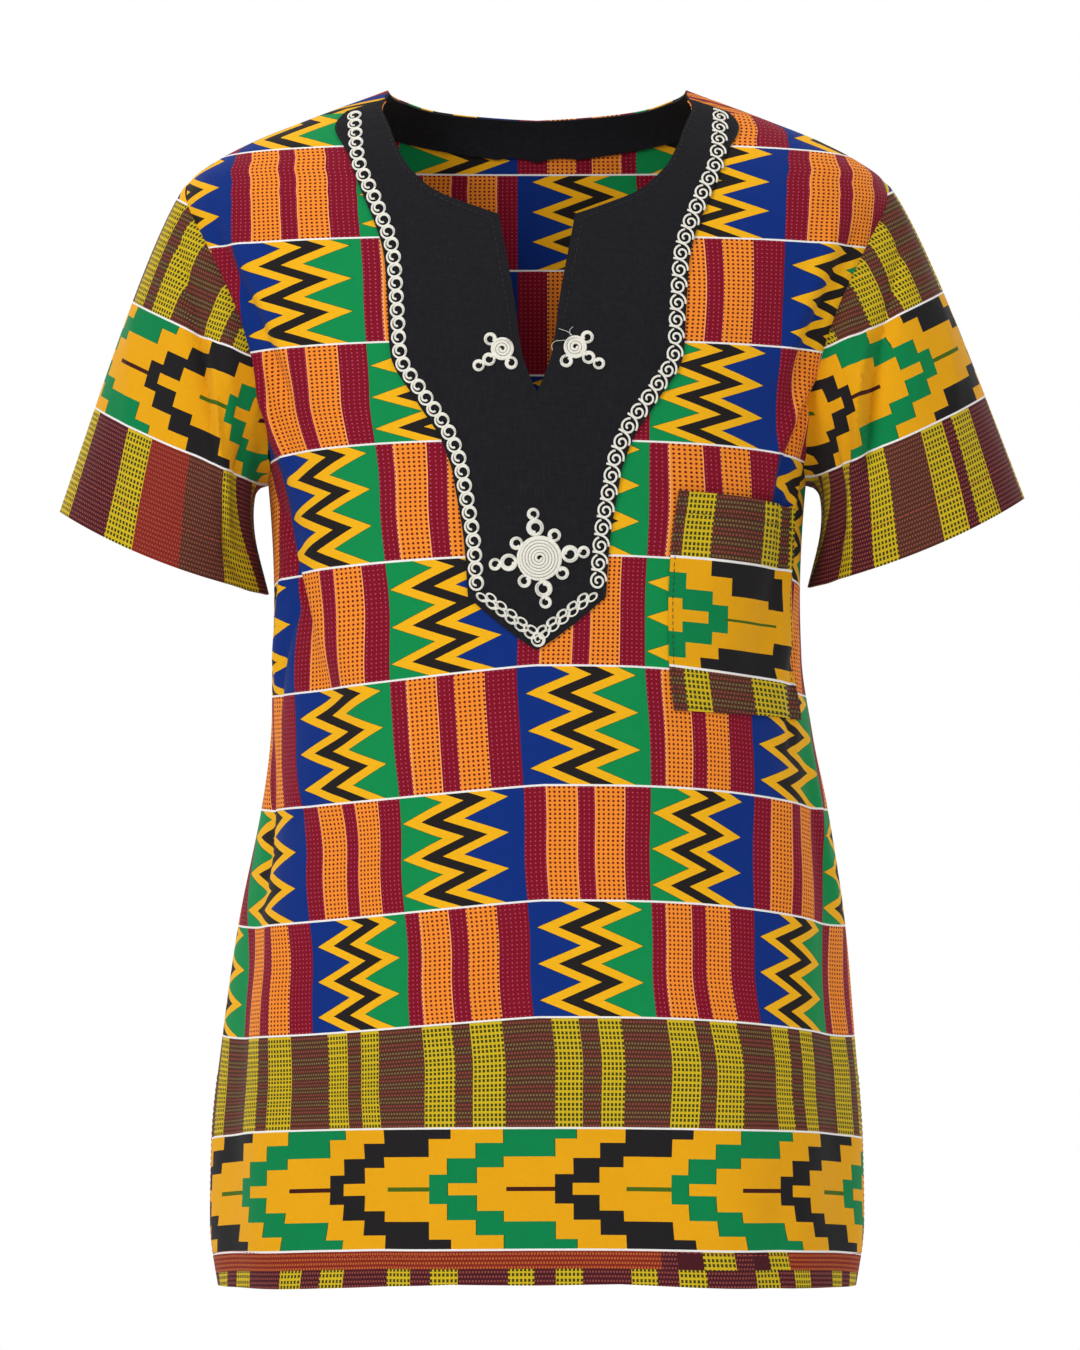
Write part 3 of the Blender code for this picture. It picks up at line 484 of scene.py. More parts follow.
@dataclass
class Pattern:
    """The cut of the body: where each edge and seam runs, as places on the torso."""

    torso: Torso
    shoulder_tip_z: float = -0.057
    underarm_z: float = -0.252
    slit_end_z: float = -0.1985
    vent_z: float = -0.625
    vent_spread: float = 5.0
    scoop_front: float = 27.0
    scoop_back: float = 24.0
    seam_gap: float = 0.00006

    # Columns of the half front: those of the yoke, then shares of the way on to the side
    YOKE_COLUMNS = 3 * FINE
    PAST_YOKE = (0.0, 0.06, 0.118, 0.176, 0.29, 0.41, 0.53, 0.645, 0.76, 0.88, 1.0)
    # Heights of the frame's rows below the underarm, at the centre and at the side
    HEIGHTS = (
        (-0.2470, -0.252),
        (-0.2560, -0.2720),
        (-0.325, -0.3340),
        (-0.3575, -0.3670),
        (-0.3930, -0.4040),
        (-0.6150, -0.625),
    )
    # Rows between those heights, then rows above them and where they meet the armhole
    LOWER_ROWS = tuple(FINE * n for n in (1, 3, 3, 2, 8, 5))
    FRONT_ROWS = tuple(FINE * n for n in (6, 5, 3))
    BACK_ROWS = tuple(FINE * n for n in (5, 3, 6))
    FRONT_TURNS = (-12.0, 80.0, 140.0, 180.0)
    BACK_TURNS = (-12.0, -75.0, -98.0, -180.0)

    # Edges in front view, as x and z
    NECKLINE = (
        (0.0955, -0.0090),
        (0.0924, -0.0290),
        (0.0868, -0.0440),
        (0.0786, -0.0575),
        (0.0627, -0.0715),
        (0.0429, -0.0798),
        (0.0237, -0.0866),
    )
    SLIT = ((0.0237, -0.0866), (0.0139, -0.1405), (0.0097, -0.1720), (0.0, -0.1985))
    YOKE_UPPER = ((0.1200, -0.0170), (0.1170, -0.0506), (0.1057, -0.0803), (0.0949, -0.1131), (0.0922, -0.1470))
    YOKE_MIDDLE = ((0.0922, -0.1470), (0.0901, -0.1763), (0.0754, -0.2020), (0.0598, -0.2254))
    YOKE_LOWER = ((0.0598, -0.2254), (0.0520, -0.2470))
    YOKE_HIP = ((0.0520, -0.2470), (0.0505, -0.2560))
    YOKE_FOOT = ((0.0505, -0.2560), (0.0448, -0.2910), (0.0424, -0.325))
    YOKE_TIP_Z = -0.3575
    SEAM_NECK = ((0.0955, -0.0090), (0.1080, -0.0130), (0.1200, -0.0170))
    # Edges as angle and z
    SEAM_ARM = ((73.6, -0.0168), (83.0, -0.0235), (90.0, -0.0370), (95.0, -0.0591))
    BACK_NECKLINE = ((70.0, -0.0015), (90.0, 0.0008), (120.0, -0.0010), (150.0, -0.0060), (180.0, -0.0100))
    FACING_EDGE = ((76.0, -0.0105), (90.0, -0.0090), (120.0, -0.0120), (150.0, -0.0240), (173.9, -0.0340))

    # Where the back's centre columns turn straight down, in front view
    BACK_FOOT_X = 0.026
    BACK_FOOT_Z = -0.052

    def armhole(self, turn: Any) -> Array:
        """Place of the armhole's edge: 0 is its top, 180 the underarm, below zero the back."""
        z = self.shoulder_tip_z + (self.underarm_z - self.shoulder_tip_z) * (1 - np.cos(np.radians(turn))) / 2
        sine = np.sin(np.radians(turn))
        return np.stack([90 - np.where(sine >= 0, self.scoop_front, self.scoop_back) * sine, z], axis=-1)

    def turns(self, stations: Sequence[float], rows: Sequence[int]) -> Array:
        """Turns of the armhole at the rows of a panel."""
        return joined(*[straight(stations[i], stations[i + 1], rows[i]) for i in range(3)])

    def past_yoke(self) -> Array:
        """Shares of the way from the yoke's edge to the side, one for each fine column."""
        return np.interp(np.linspace(0, 10, 10 * FINE + 1), np.arange(11), self.PAST_YOKE)

    def shoulder_seam(self) -> Array:
        """Places of the shoulder seam, at the panels' columns."""
        to_yoke = along_path(self.torso.places(self.SEAM_NECK), self.YOKE_COLUMNS)
        rest = along_path((tuple(to_yoke[-1]),) + self.SEAM_ARM, 200)
        at = self.past_yoke()[1:] * 200
        return np.concatenate([to_yoke, np.stack([np.interp(at, np.arange(201), rest[:, k]) for k in (0, 1)], axis=1)])

    def grid(self, inner: Array, middle: Array, outer: Array, seam: Array, seam_rows: int) -> Array:
        """Angle and height of a half panel's grid, whose first row lies on the shoulder seam.

        Args:
            inner: Places down the centre or the neck edge.
            middle: Places down the yoke's or the facing's edge.
            outer: Places down the armhole and the side.
            seam: Places of the shoulder seam.
            seam_rows: Rows over which the seam's bend fades out.

        Returns:
            The grid, rows by columns by two.
        """
        past = self.past_yoke()
        shares = np.linspace(0, 1, self.YOKE_COLUMNS + 1)
        first = inner[:, None] + (middle - inner)[:, None] * shares[None, :, None]
        rest = middle[:, None] + (outer - middle)[:, None] * past[None, 1:, None]
        grid = np.concatenate([first, rest], axis=1)
        fade = np.clip(1 - np.arange(len(inner)) / seam_rows, 0, 1) ** 2
        return grid + fade[:, None, None] * (seam - grid[0])[None]

    def side(self, angle: float, vent_angle: float) -> Array:
        """Places down a side seam and its vent."""
        heights = [side for _, side in self.HEIGHTS]
        stretches = [straight((angle, heights[i]), (angle, heights[i + 1]), self.LOWER_ROWS[i]) for i in range(5)]
        t = np.linspace(0, 1, self.LOWER_ROWS[5] + 1)
        z = self.vent_z + (float(self.torso.hem_z(vent_angle)) - self.vent_z) * t
        return joined(*stretches, np.stack([angle + (vent_angle - angle) * t**VENT_CURVE, z], axis=1))

    def column(self, angle: float) -> Array:
        """Places straight down the panel at one angle, from the underarm's height to the hem."""
        heights = [centre for centre, _ in self.HEIGHTS] + [float(self.torso.hem_z(angle))]
        return joined(*[straight((angle, heights[i]), (angle, heights[i + 1]), self.LOWER_ROWS[i]) for i in range(6)])

    def front(self) -> Array:
        """The front's half grid, from the centre or neck edge out to the armhole and side."""
        torso, rows, lower = self.torso, self.FRONT_ROWS, self.LOWER_ROWS
        inner = joined(
            along_path(torso.places(self.NECKLINE), rows[0]),
            along_path(torso.places(self.SLIT), rows[1]),
            straight((0.0, self.slit_end_z), (0.0, self.HEIGHTS[0][0]), rows[2]),
            self.column(0.0),
        )
        below = self.column(float(torso.places([self.YOKE_FOOT[-1]])[0][0]))
        below[: lower[0] + 1] = along_path(torso.places(self.YOKE_HIP), lower[0])
        below[lower[0] : lower[0] + lower[1] + 1] = along_path(torso.places(self.YOKE_FOOT), lower[1])
        middle = joined(
            along_path(torso.places(self.YOKE_UPPER), rows[0]),
            along_path(torso.places(self.YOKE_MIDDLE), rows[1]),
            along_path(torso.places(self.YOKE_LOWER), rows[2]),
            below,
        )
        outer = joined(self.armhole(self.turns(self.FRONT_TURNS, rows)), self.side(90.0, 90.0 - self.vent_spread))
        return self.grid(inner, middle, outer, self.shoulder_seam(), 6 * FINE)

    def back(self) -> Array:
        """The back's half grid, from the neck edge or centre out to the armhole and side."""
        rows, top = self.BACK_ROWS, self.HEIGHTS[0][0]
        foot = (180.0 - float(self.torso.angle_at(self.BACK_FOOT_X, self.BACK_FOOT_Z)), self.BACK_FOOT_Z)
        seam = self.shoulder_seam()
        inner = joined(
            along_path((tuple(seam[0]),) + self.BACK_NECKLINE, rows[0]),
            straight((180.0, -0.010), (180.0, -0.036), rows[1]),
            straight((180.0, -0.036), (180.0, top), rows[2]),
            self.column(180.0),
        )
        middle = joined(
            along_path((tuple(seam[self.YOKE_COLUMNS]),) + self.FACING_EDGE, rows[0]),
            straight(self.FACING_EDGE[-1], foot, rows[1]),
            straight(foot, (168.0, top), rows[2]),
            self.column(168.0),
        )
        outer = joined(self.armhole(self.turns(self.BACK_TURNS, rows)), self.side(90.0, 90.0 + self.vent_spread))
        return self.grid(inner, middle, outer, seam, 5 * FINE)

    def drawn_in(self, points: Array) -> Array:
        """The grid with its top row and outer column drawn in from the seams."""
        points = points.copy()
        for edge, beside in ((np.s_[0], np.s_[1]), (np.s_[:, -1], np.s_[:, -2])):
            way = points[beside] - points[edge]
            along = unit(np.gradient(points[edge], axis=0))
            way -= np.sum(way * along, axis=-1, keepdims=True) * along
            points[edge] += unit(way) * self.seam_gap / 2
        return points


# ---------------------------------------------------------------- cloth meshes


Cell = tuple[tuple[int, int], ...]
SHARP_DEGREES = 48


def cells(rows: Any, columns: Any) -> list[Cell]:
    """Quads of a grid."""
    return [((r, c), (r + 1, c), (r + 1, c + 1), (r, c + 1)) for r in rows for c in columns]


def pointed_cells(rows: int, point_row: int, columns: int) -> list[Cell]:
    """Cells of the yoke's columns, which end in a point at the centre.

    Args:
        rows: Full rows above the point.
        point_row: Row where the point begins.
        columns: Columns of the yoke.

    Returns:
        The cells.
    """
    faces = cells(range(rows), range(columns))
    for step in range(columns):
        edge = columns - 1 - step
        r = point_row + step
        faces += cells([r], range(edge)) + [((r, edge), (r + 1, edge), (r, edge + 1))]
    return faces


@dataclass
class Cloth:
    """One cut piece of cloth as points, the cells between them and their place on the print."""

    outer: Array
    inner: Array
    faces: list[tuple[int, ...]]
    grain: Array

    def mesh(self, name: str) -> bpy.types.Mesh:
        """A closed wall of cloth, its faces outward, with its grain as a UV map.

        Args:
            name: Name of the mesh.

        Returns:
            The mesh.
        """
        used = np.unique([i for face in self.faces for i in face])
        keys = np.round(self.outer[used], 7)
        _, first, index = np.unique(keys, axis=0, return_index=True, return_inverse=True)
        place = np.full(len(self.outer), -1)
        place[used] = index.reshape(-1)
        kept = used[first]
        count = len(kept)
        rings = []
        for face in self.faces:
            pairs = [(int(place[i]), i) for i in face]
            pairs = [pair for n, pair in enumerate(pairs) if pair[0] != pairs[n - 1][0]]
            if len({pair[0] for pair in pairs}) > 2:
                rings.append(pairs)
        edges = {}
        for ring in rings:
            for n, (here, own) in enumerate(ring):
                there, other = ring[(n + 1) % len(ring)]
                edges[(here, there)] = (own, other)
        corners = [[(v, own) for v, own in ring] for ring in rings]
        corners += [[(v + count, own) for v, own in reversed(ring)] for ring in rings]
        corners += [
            [(b, other), (a, own), (a + count, own), (b + count, other)]
            for (a, b), (own, other) in edges.items()
            if (b, a) not in edges
        ]
        mesh = bpy.data.meshes.new(name)
        points = np.concatenate([self.outer[kept], self.inner[kept]])
        mesh.from_pydata(points.tolist(), [], [[v for v, _ in ring] for ring in corners])
        layer = mesh.uv_layers.new(name="grain")
        own = np.array([source for ring in corners for _, source in ring])
        layer.data.foreach_set("uv", self.grain[own].astype(np.float32).ravel())
        mesh.shade_smooth()
        mesh.set_sharp_from_angle(angle=np.radians(SHARP_DEGREES))
        return mesh


def linked(name: str, mesh: bpy.types.Mesh, material: bpy.types.Material) -> bpy.types.Object:
    """A named object at the origin with one material.

    Args:
        name: Name of the piece.
        mesh: Its mesh.
        material: Its material.

    Returns:
        The object, linked to the scene.
    """
    mesh.materials.clear()
    mesh.materials.append(material)
    obj = bpy.data.objects.new(name, mesh)
    bpy.context.scene.collection.objects.link(obj)
    return obj


@dataclass
class Body:
    """Front and back of the top, the black yoke on the front and the facing in the back neck."""

    torso: Torso
    pattern: Pattern
    yoke_lift: float = LAYER_GAP
    front_grid: Array = field(init=False)
    back_grid: Array = field(init=False)

    def __post_init__(self) -> None:
        """Lay out both grids."""
        self.front_grid, self.back_grid = self.pattern.front(), self.pattern.back()

    def layer(self, places: Array, side: int, lift: Any) -> Array:
        """Points of a half grid on one side of the body, lifted off the surface."""
        angle, z = side * places[..., 0], places[..., 1]
        lift = np.broadcast_to(np.asarray(lift, float), angle.shape)
        return self.pattern.drawn_in(self.torso.surface(angle, z) + self.torso.normal(angle, z) * lift[..., None])

    def both_sides(self, places: Array, cells_used: list[Cell], outer: Any, inner: Any) -> Cloth:
        """A piece cut on both halves of a panel's grid.

        Args:
            places: The half grid.
            cells_used: Cells of the half grid that the piece covers.
            outer: Lift of its outer face.
            inner: Lift of its inner face.

        Returns:
            The cloth.
        """
        rows, columns = places.shape[:2]
        layers = [
            np.concatenate([self.layer(places, side, lift).reshape(-1, 3) for side in (1, -1)])
            for lift in (outer, inner)
        ]
        on_front = places is self.front_grid
        grain = [self.torso.grain(s * places[..., 0], places[..., 1], on_front).reshape(-1, 2) for s in (1, -1)]
        left = [tuple(r * columns + c for r, c in face) for face in cells_used]
        faces = left + [tuple(i + rows * columns for i in reversed(face)) for face in left]
        return Cloth(layers[0], layers[1], faces, np.concatenate(grain))

    def hem_thickness(self, z: Array) -> Array:
        """Cloth thickness, more where the hem is turned up."""
        foot = -self.torso.HEM_Z
        return CLOTH + HEM_EXTRA * soft_step(-z, foot - 1.35 * HEM_DEPTH, foot - 1.2 * HEM_DEPTH)

    def build(self, finishes: "Finishes") -> list[bpy.types.Object]:
        """Make and dress the four pieces.

        Args:
            finishes: The materials.

        Returns:
            Front, back, yoke and facing.
        """
        front, back = self.front_grid, self.back_grid
        made = []
        for name, node, places, finish in (
            ("front_cloth", "front_panel", front, finishes.front),
            ("back_cloth", "back_panel", back, finishes.back),
        ):
            rows, columns = places.shape[:2]
            every = cells(range(rows - 1), range(columns - 1))
            cloth = self.both_sides(places, every, 0.0, -self.hem_thickness(places[..., 1]))
            made.append((linked(name, cloth.mesh(name), finish), node))
        count = self.pattern.YOKE_COLUMNS
        corner = sum(self.pattern.FRONT_ROWS) + sum(self.pattern.LOWER_ROWS[:2])
        yoke = self.both_sides(front, pointed_cells(corner, corner, count), self.yoke_lift + TRIM_CLOTH, self.yoke_lift)
        made.append((linked("yoke_cloth", yoke.mesh("yoke_cloth"), finishes.black), "neck_yoke"))
        under = -CLOTH - LAYER_GAP
        top = self.pattern.BACK_ROWS[0]
        facing = self.both_sides(back, pointed_cells(top, top, count), under, under - TRIM_CLOTH)
        made.append((linked("back_facing_cloth", facing.mesh("back_facing_cloth"), finishes.black), "back_neck_facing"))
        for piece, node in made:
            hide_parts(node)
            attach(piece, "root")
        return [piece for piece, _ in made]


@dataclass
class ChestPocket:
    """Patch pocket on the wearer's left: the front's own points moved out, open at its top."""

    body: Body
    mouth_stand: float = 0.0024
    mouth_fold: float = 0.0006

    # The frame's columns past the yoke that the pocket lies on, first and last
    COLUMNS = (3, 8)

    def places(self) -> Array:
        """The pocket's part of the front's grid."""
        rows = self.body.pattern
        first = sum(rows.FRONT_ROWS) + rows.LOWER_ROWS[0]
        last = first + sum(rows.LOWER_ROWS[1:4])
        left, right = (rows.YOKE_COLUMNS + column * FINE for column in self.COLUMNS)
        return self.body.front_grid[first : last + 1, left : right + 1]

    def stand(self, down: Array, across: Array) -> Array:
        """How far the pocket stands off at shares of its height and width, most at its mouth."""
        return self.mouth_stand * np.sin(np.pi * across) * (1 - soft_step(down, 0.0, 0.8))

    def fold(self, down: Array) -> Array:
        """What the turned top adds to the thickness at shares of the pocket's height."""
        return self.mouth_fold * (1 - soft_step(down, 0.07, 0.09))

    def build(self, finishes: "Finishes") -> bpy.types.Object:
        """Make and dress the pocket.

        Args:
            finishes: The materials.

        Returns:
            The pocket.
        """
        places = self.places()
        rows, columns = places.shape[:2]
        down, across = np.linspace(0, 1, rows)[:, None], np.linspace(0, 1, columns)[None, :]
        gap = LAYER_GAP + self.stand(down, across)
        torso = self.body.torso
        base, normal = torso.surface(places[..., 0], places[..., 1]), torso.normal(places[..., 0], places[..., 1])
        outer = (base + normal * (gap + TRIM_CLOTH + self.fold(down))[..., None]).reshape(-1, 3)
        inner = (base + normal * gap[..., None]).reshape(-1, 3)
        u = (base[..., 0] - base[:, :1, 0]) / (base[:, -1:, 0] - base[:, :1, 0])
        v = (base[:1, :, 2] - base[..., 2]) / (base[:1, :, 2] - base[-1:, :, 2])
        faces = [tuple(r * columns + c for r, c in face) for face in cells(range(rows - 1), range(columns - 1))]
        cloth = Cloth(outer, inner, faces, np.stack([u, v], axis=-1).reshape(-1, 2))
        piece = linked("pocket_cloth", cloth.mesh("pocket_cloth"), finishes.pocket)
        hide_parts("chest_pocket")
        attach(piece, "root")
        return piece


# ---------------------------------------------------------------- sleeves


@dataclass(frozen=True)
class Cuff:
    """The sleeve's open edge: a flattened ring with a pressed outer corner."""

    outer: tuple[float, float]
    inner: tuple[float, float]
    half_depth: float = 0.051
    pointed: float = 1.22
    droop: float = 0.006

    def point(self, turn: Array) -> Array:
        """A point of the edge, which hangs lower in its front and back."""
        outer, inner = np.array(self.outer), np.array(self.inner)
        centre, half = (outer + inner) / 2, (outer - inner) / 2
        down = np.array([half[1], -half[0]]) / np.hypot(*half) * self.droop
        sine, cosine = np.sin(np.radians(turn)), np.cos(np.radians(turn))
        x = centre[0] + half[0] * cosine + down[0] * sine**2
        z = centre[1] + half[1] * cosine + down[1] * sine**2
        return np.stack([x, -self.half_depth * np.sign(sine) * np.abs(sine) ** self.pointed, z], axis=-1)


@dataclass
class Sleeve:
    """A set-in sleeve: one tube of cloth from the armhole to the cuff."""

    torso: Torso
    pattern: Pattern
    name: str
    node: str
    cuff: Cuff
    side: int
    creases: tuple[Crease, ...]
    rows: int = 44
    cap_rise: float = 0.0065
    front_round: float = 0.013
    off_body: float = 0.011

    # Row of the print at the cuff
    CUFF_ROW = 2.98
    # Large folds: turns and shares of the way down of both ends, half width in degrees, depth
    FOLDS = (
        Crease(62, 100, 0.02, 0.62, 13.0, -0.0060),
        Crease(84, 128, 0.05, 0.80, 14.0, 0.0050),
        Crease(118, 146, 0.10, 1.10, 13.0, -0.0050),
        Crease(-70, -104, 0.02, 0.70, 13.0, -0.0060),
        Crease(-100, -132, 0.08, 0.95, 14.0, 0.0050),
        Crease(-126, -150, 0.15, 1.10, 12.0, -0.0050),
    )

    def armhole_frame(self, turn: Array) -> tuple[Array, Array, Array]:
        """Point, normal and outward way of the body's armhole edge.

        Args:
            turn: Degrees round the armhole.

        Returns:
            The three, one row each.
        """
        at, ahead, behind = (self.pattern.armhole(turn + step) for step in (0.0, 0.5, -0.5))
        point = self.torso.surface(at[..., 0], at[..., 1])
        normal = self.torso.normal(at[..., 0], at[..., 1])
        edge = self.torso.surface(ahead[..., 0], ahead[..., 1])
        edge = edge - self.torso.surface(behind[..., 0], behind[..., 1])
        away = unit(np.cross(normal, edge))
        middle = self.torso.surface(90.0, (self.pattern.shoulder_tip_z + self.pattern.underarm_z) / 2)
        return point, normal, away * np.sign(np.sum(away * (middle - point), axis=-1, keepdims=True))

    def plain(self, turn: Array, t: Array) -> Array:
        """The sleeve's surface before its folds, from the armhole at 0 to the cuff at 1.

        Args:
            turn: Degrees round the sleeve.
            t: Share of the way to the cuff.

        Returns:
            Points in metres.
        """
        point, normal, away = self.armhole_frame(turn)
        start = point + (normal + away) * self.pattern.seam_gap
        sine, cosine = np.sin(np.radians(turn)), np.cos(np.radians(turn))
        share = np.clip(t, 0, 1)
        cap = self.cap_rise * np.clip(cosine, 0, 1) ** 2 * np.sin(np.pi * share**0.55)
        round_out = self.front_round * sine * np.abs(sine) * np.sin(np.pi * share**0.75)
        off_body = self.off_body * np.clip(-cosine, 0, 1) * np.sin(np.pi * share**0.5)
        bulge = np.stack([0.92 * cap + off_body, -round_out, 0.39 * cap], axis=-1)
        return start + (self.cuff.point(turn) - start) * t[..., None] + bulge

    def surface(self, turn: Array, t: Array) -> Array:
        """The sleeve's outer surface with its folds and narrow creases.

        Args:
            turn: Degrees round the sleeve.
            t: Share of the way to the cuff.

        Returns:
            Points in metres.
        """
        turn, t = np.broadcast_arrays(np.asarray(turn, float), np.asarray(t, float))
        height = sum(fold.height(turn, t) for fold in self.FOLDS)
        height = height + self.torso.CREASE_DEPTH * sum(crease.height(turn, t) for crease in self.creases)
        beside_body = soft_step(-np.cos(np.radians(turn)), 0.0, 0.8)
        height = height * soft_step(t, 0.0, 0.12) * np.where(height > 0, 1 - beside_body, 1)
        outward = normal_of(self.plain, turn, np.clip(t, 0.02, 0.98), *SLEEVE_STEPS)
        return self.plain(turn, t) + outward * height[..., None]

    def grain(self, turn: Array, t: Array) -> Array:
        """Place on the printed cloth: metres from the outer fold, and the row of the print."""
        steps = np.linalg.norm(np.diff(self.plain(turn, t), axis=1), axis=-1)
        run = np.concatenate([np.zeros((len(turn), 1)), np.cumsum(steps, axis=1)], axis=1)
        start = np.array([np.interp(0.0, turn[0], row) for row in run])[:, None]
        across = run - start
        behind = np.arange(turn.shape[1]) > int(np.argmax(turn[0] >= 180.0))
        across = np.where(behind[None, :], across - run[:, -1:], across)
        length = np.linalg.norm(self.plain(turn[:1], 0 * t[:1]) - self.cuff.point(turn[:1]), axis=-1)
        return np.stack([across, self.CUFF_ROW - (1 - t) * length / ROW_HEIGHT], axis=-1)

    def build(self, finish: bpy.types.Material) -> bpy.types.Object:
        """Make and dress the sleeve.

        Args:
            finish: Its material.

        Returns:
            The sleeve.
        """
        pattern = self.pattern
        front = pattern.turns(pattern.FRONT_TURNS, pattern.FRONT_ROWS)
        back = pattern.turns(pattern.BACK_TURNS, pattern.BACK_ROWS)
        turns = np.concatenate([front, back[::-1] + 360.0])
        underarm = len(front) - 1
        turn, t = np.meshgrid(turns, np.linspace(0, 1, self.rows + 1))
        outer = self.surface(turn, t)
        outward = normal_of(self.surface, turn, np.clip(t, 0.02, 0.98), *SLEEVE_STEPS)
        away = self.armhole_frame(turn[0])[2]
        inward = -outward
        inward[0] -= np.minimum(np.sum(inward[0] * away, axis=-1, keepdims=True), 0) * away
        thick = CLOTH + HEM_EXTRA * soft_step(t, 0.86, 0.88)
        inner = outer + unit(inward) * thick[..., None]
        rows, columns = turn.shape
        faces = []
        for r in range(rows - 1):
            for c in range(columns - 1):
                if c != underarm:
                    ring = (r * columns + c, r * columns + c + 1, (r + 1) * columns + c + 1, (r + 1) * columns + c)
                    faces.append(ring if self.side < 0 else ring[::-1])
        walls = [layer.reshape(-1, 3) * (self.side, 1, 1) for layer in (outer, inner)]
        cloth = Cloth(walls[0], walls[1], faces, self.grain(turn, t).reshape(-1, 2))
        piece = linked(self.name, cloth.mesh(self.name), finish)
        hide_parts(self.node)
        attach(piece, "root")
        return piece


# ---------------------------------------------------------------- shader maths


WHITE = (1.0, 1.0, 1.0, 1.0)


def linear(colour: Sequence[float]) -> tuple[float, ...]:
    """A colour in screen numbers, 0 to 255, as a shader's linear colour."""
    shares = [c / 255 for c in colour]
    return (*[s / 12.92 if s <= 0.04045 else ((s + 0.055) / 1.055) ** 2.4 for s in shares], 1.0)


@dataclass(frozen=True)
class Signal:
    """A shader socket that Python's operators turn into Math nodes."""

    tree: "ShaderTree"
    socket: bpy.types.NodeSocket

    def __add__(self, other: Any) -> "Signal":
        """Sum."""
        return self.tree.math("ADD", self, other)

    def __radd__(self, other: Any) -> "Signal":
        """Sum, with the number first."""
        return self.tree.math("ADD", other, self)

    def __sub__(self, other: Any) -> "Signal":
        """Difference."""
        return self.tree.math("SUBTRACT", self, other)

    def __rsub__(self, other: Any) -> "Signal":
        """Difference, with the number first."""
        return self.tree.math("SUBTRACT", other, self)

    def __mul__(self, other: Any) -> "Signal":
        """Product."""
        return self.tree.math("MULTIPLY", self, other)

    def __rmul__(self, other: Any) -> "Signal":
        """Product, with the number first."""
        return self.tree.math("MULTIPLY", other, self)

    def __truediv__(self, other: Any) -> "Signal":
        """Quotient."""
        return self.tree.math("DIVIDE", self, other)

    def __gt__(self, other: Any) -> "Signal":
        """1 where it is more than the other, 0 elsewhere."""
        return self.tree.math("GREATER_THAN", self, other)

    def __lt__(self, other: Any) -> "Signal":
        """1 where it is less than the other, 0 elsewhere."""
        return self.tree.math("LESS_THAN", self, other)

    def __mod__(self, period: float) -> "Signal":
        """Remainder, never below zero."""
        return self.tree.math("FLOORED_MODULO", self, period)

    def __abs__(self) -> "Signal":
        """Size without its sign."""
        return self.tree.math("ABSOLUTE", self)

    def __or__(self, other: "Signal") -> "Signal":
        """The greater of two masks."""
        return self.tree.math("MAXIMUM", self, other)

    def within(self, low: float, high: float) -> "Signal":
        """1 between two numbers, 0 elsewhere."""
        return (self > low) * (self < high)


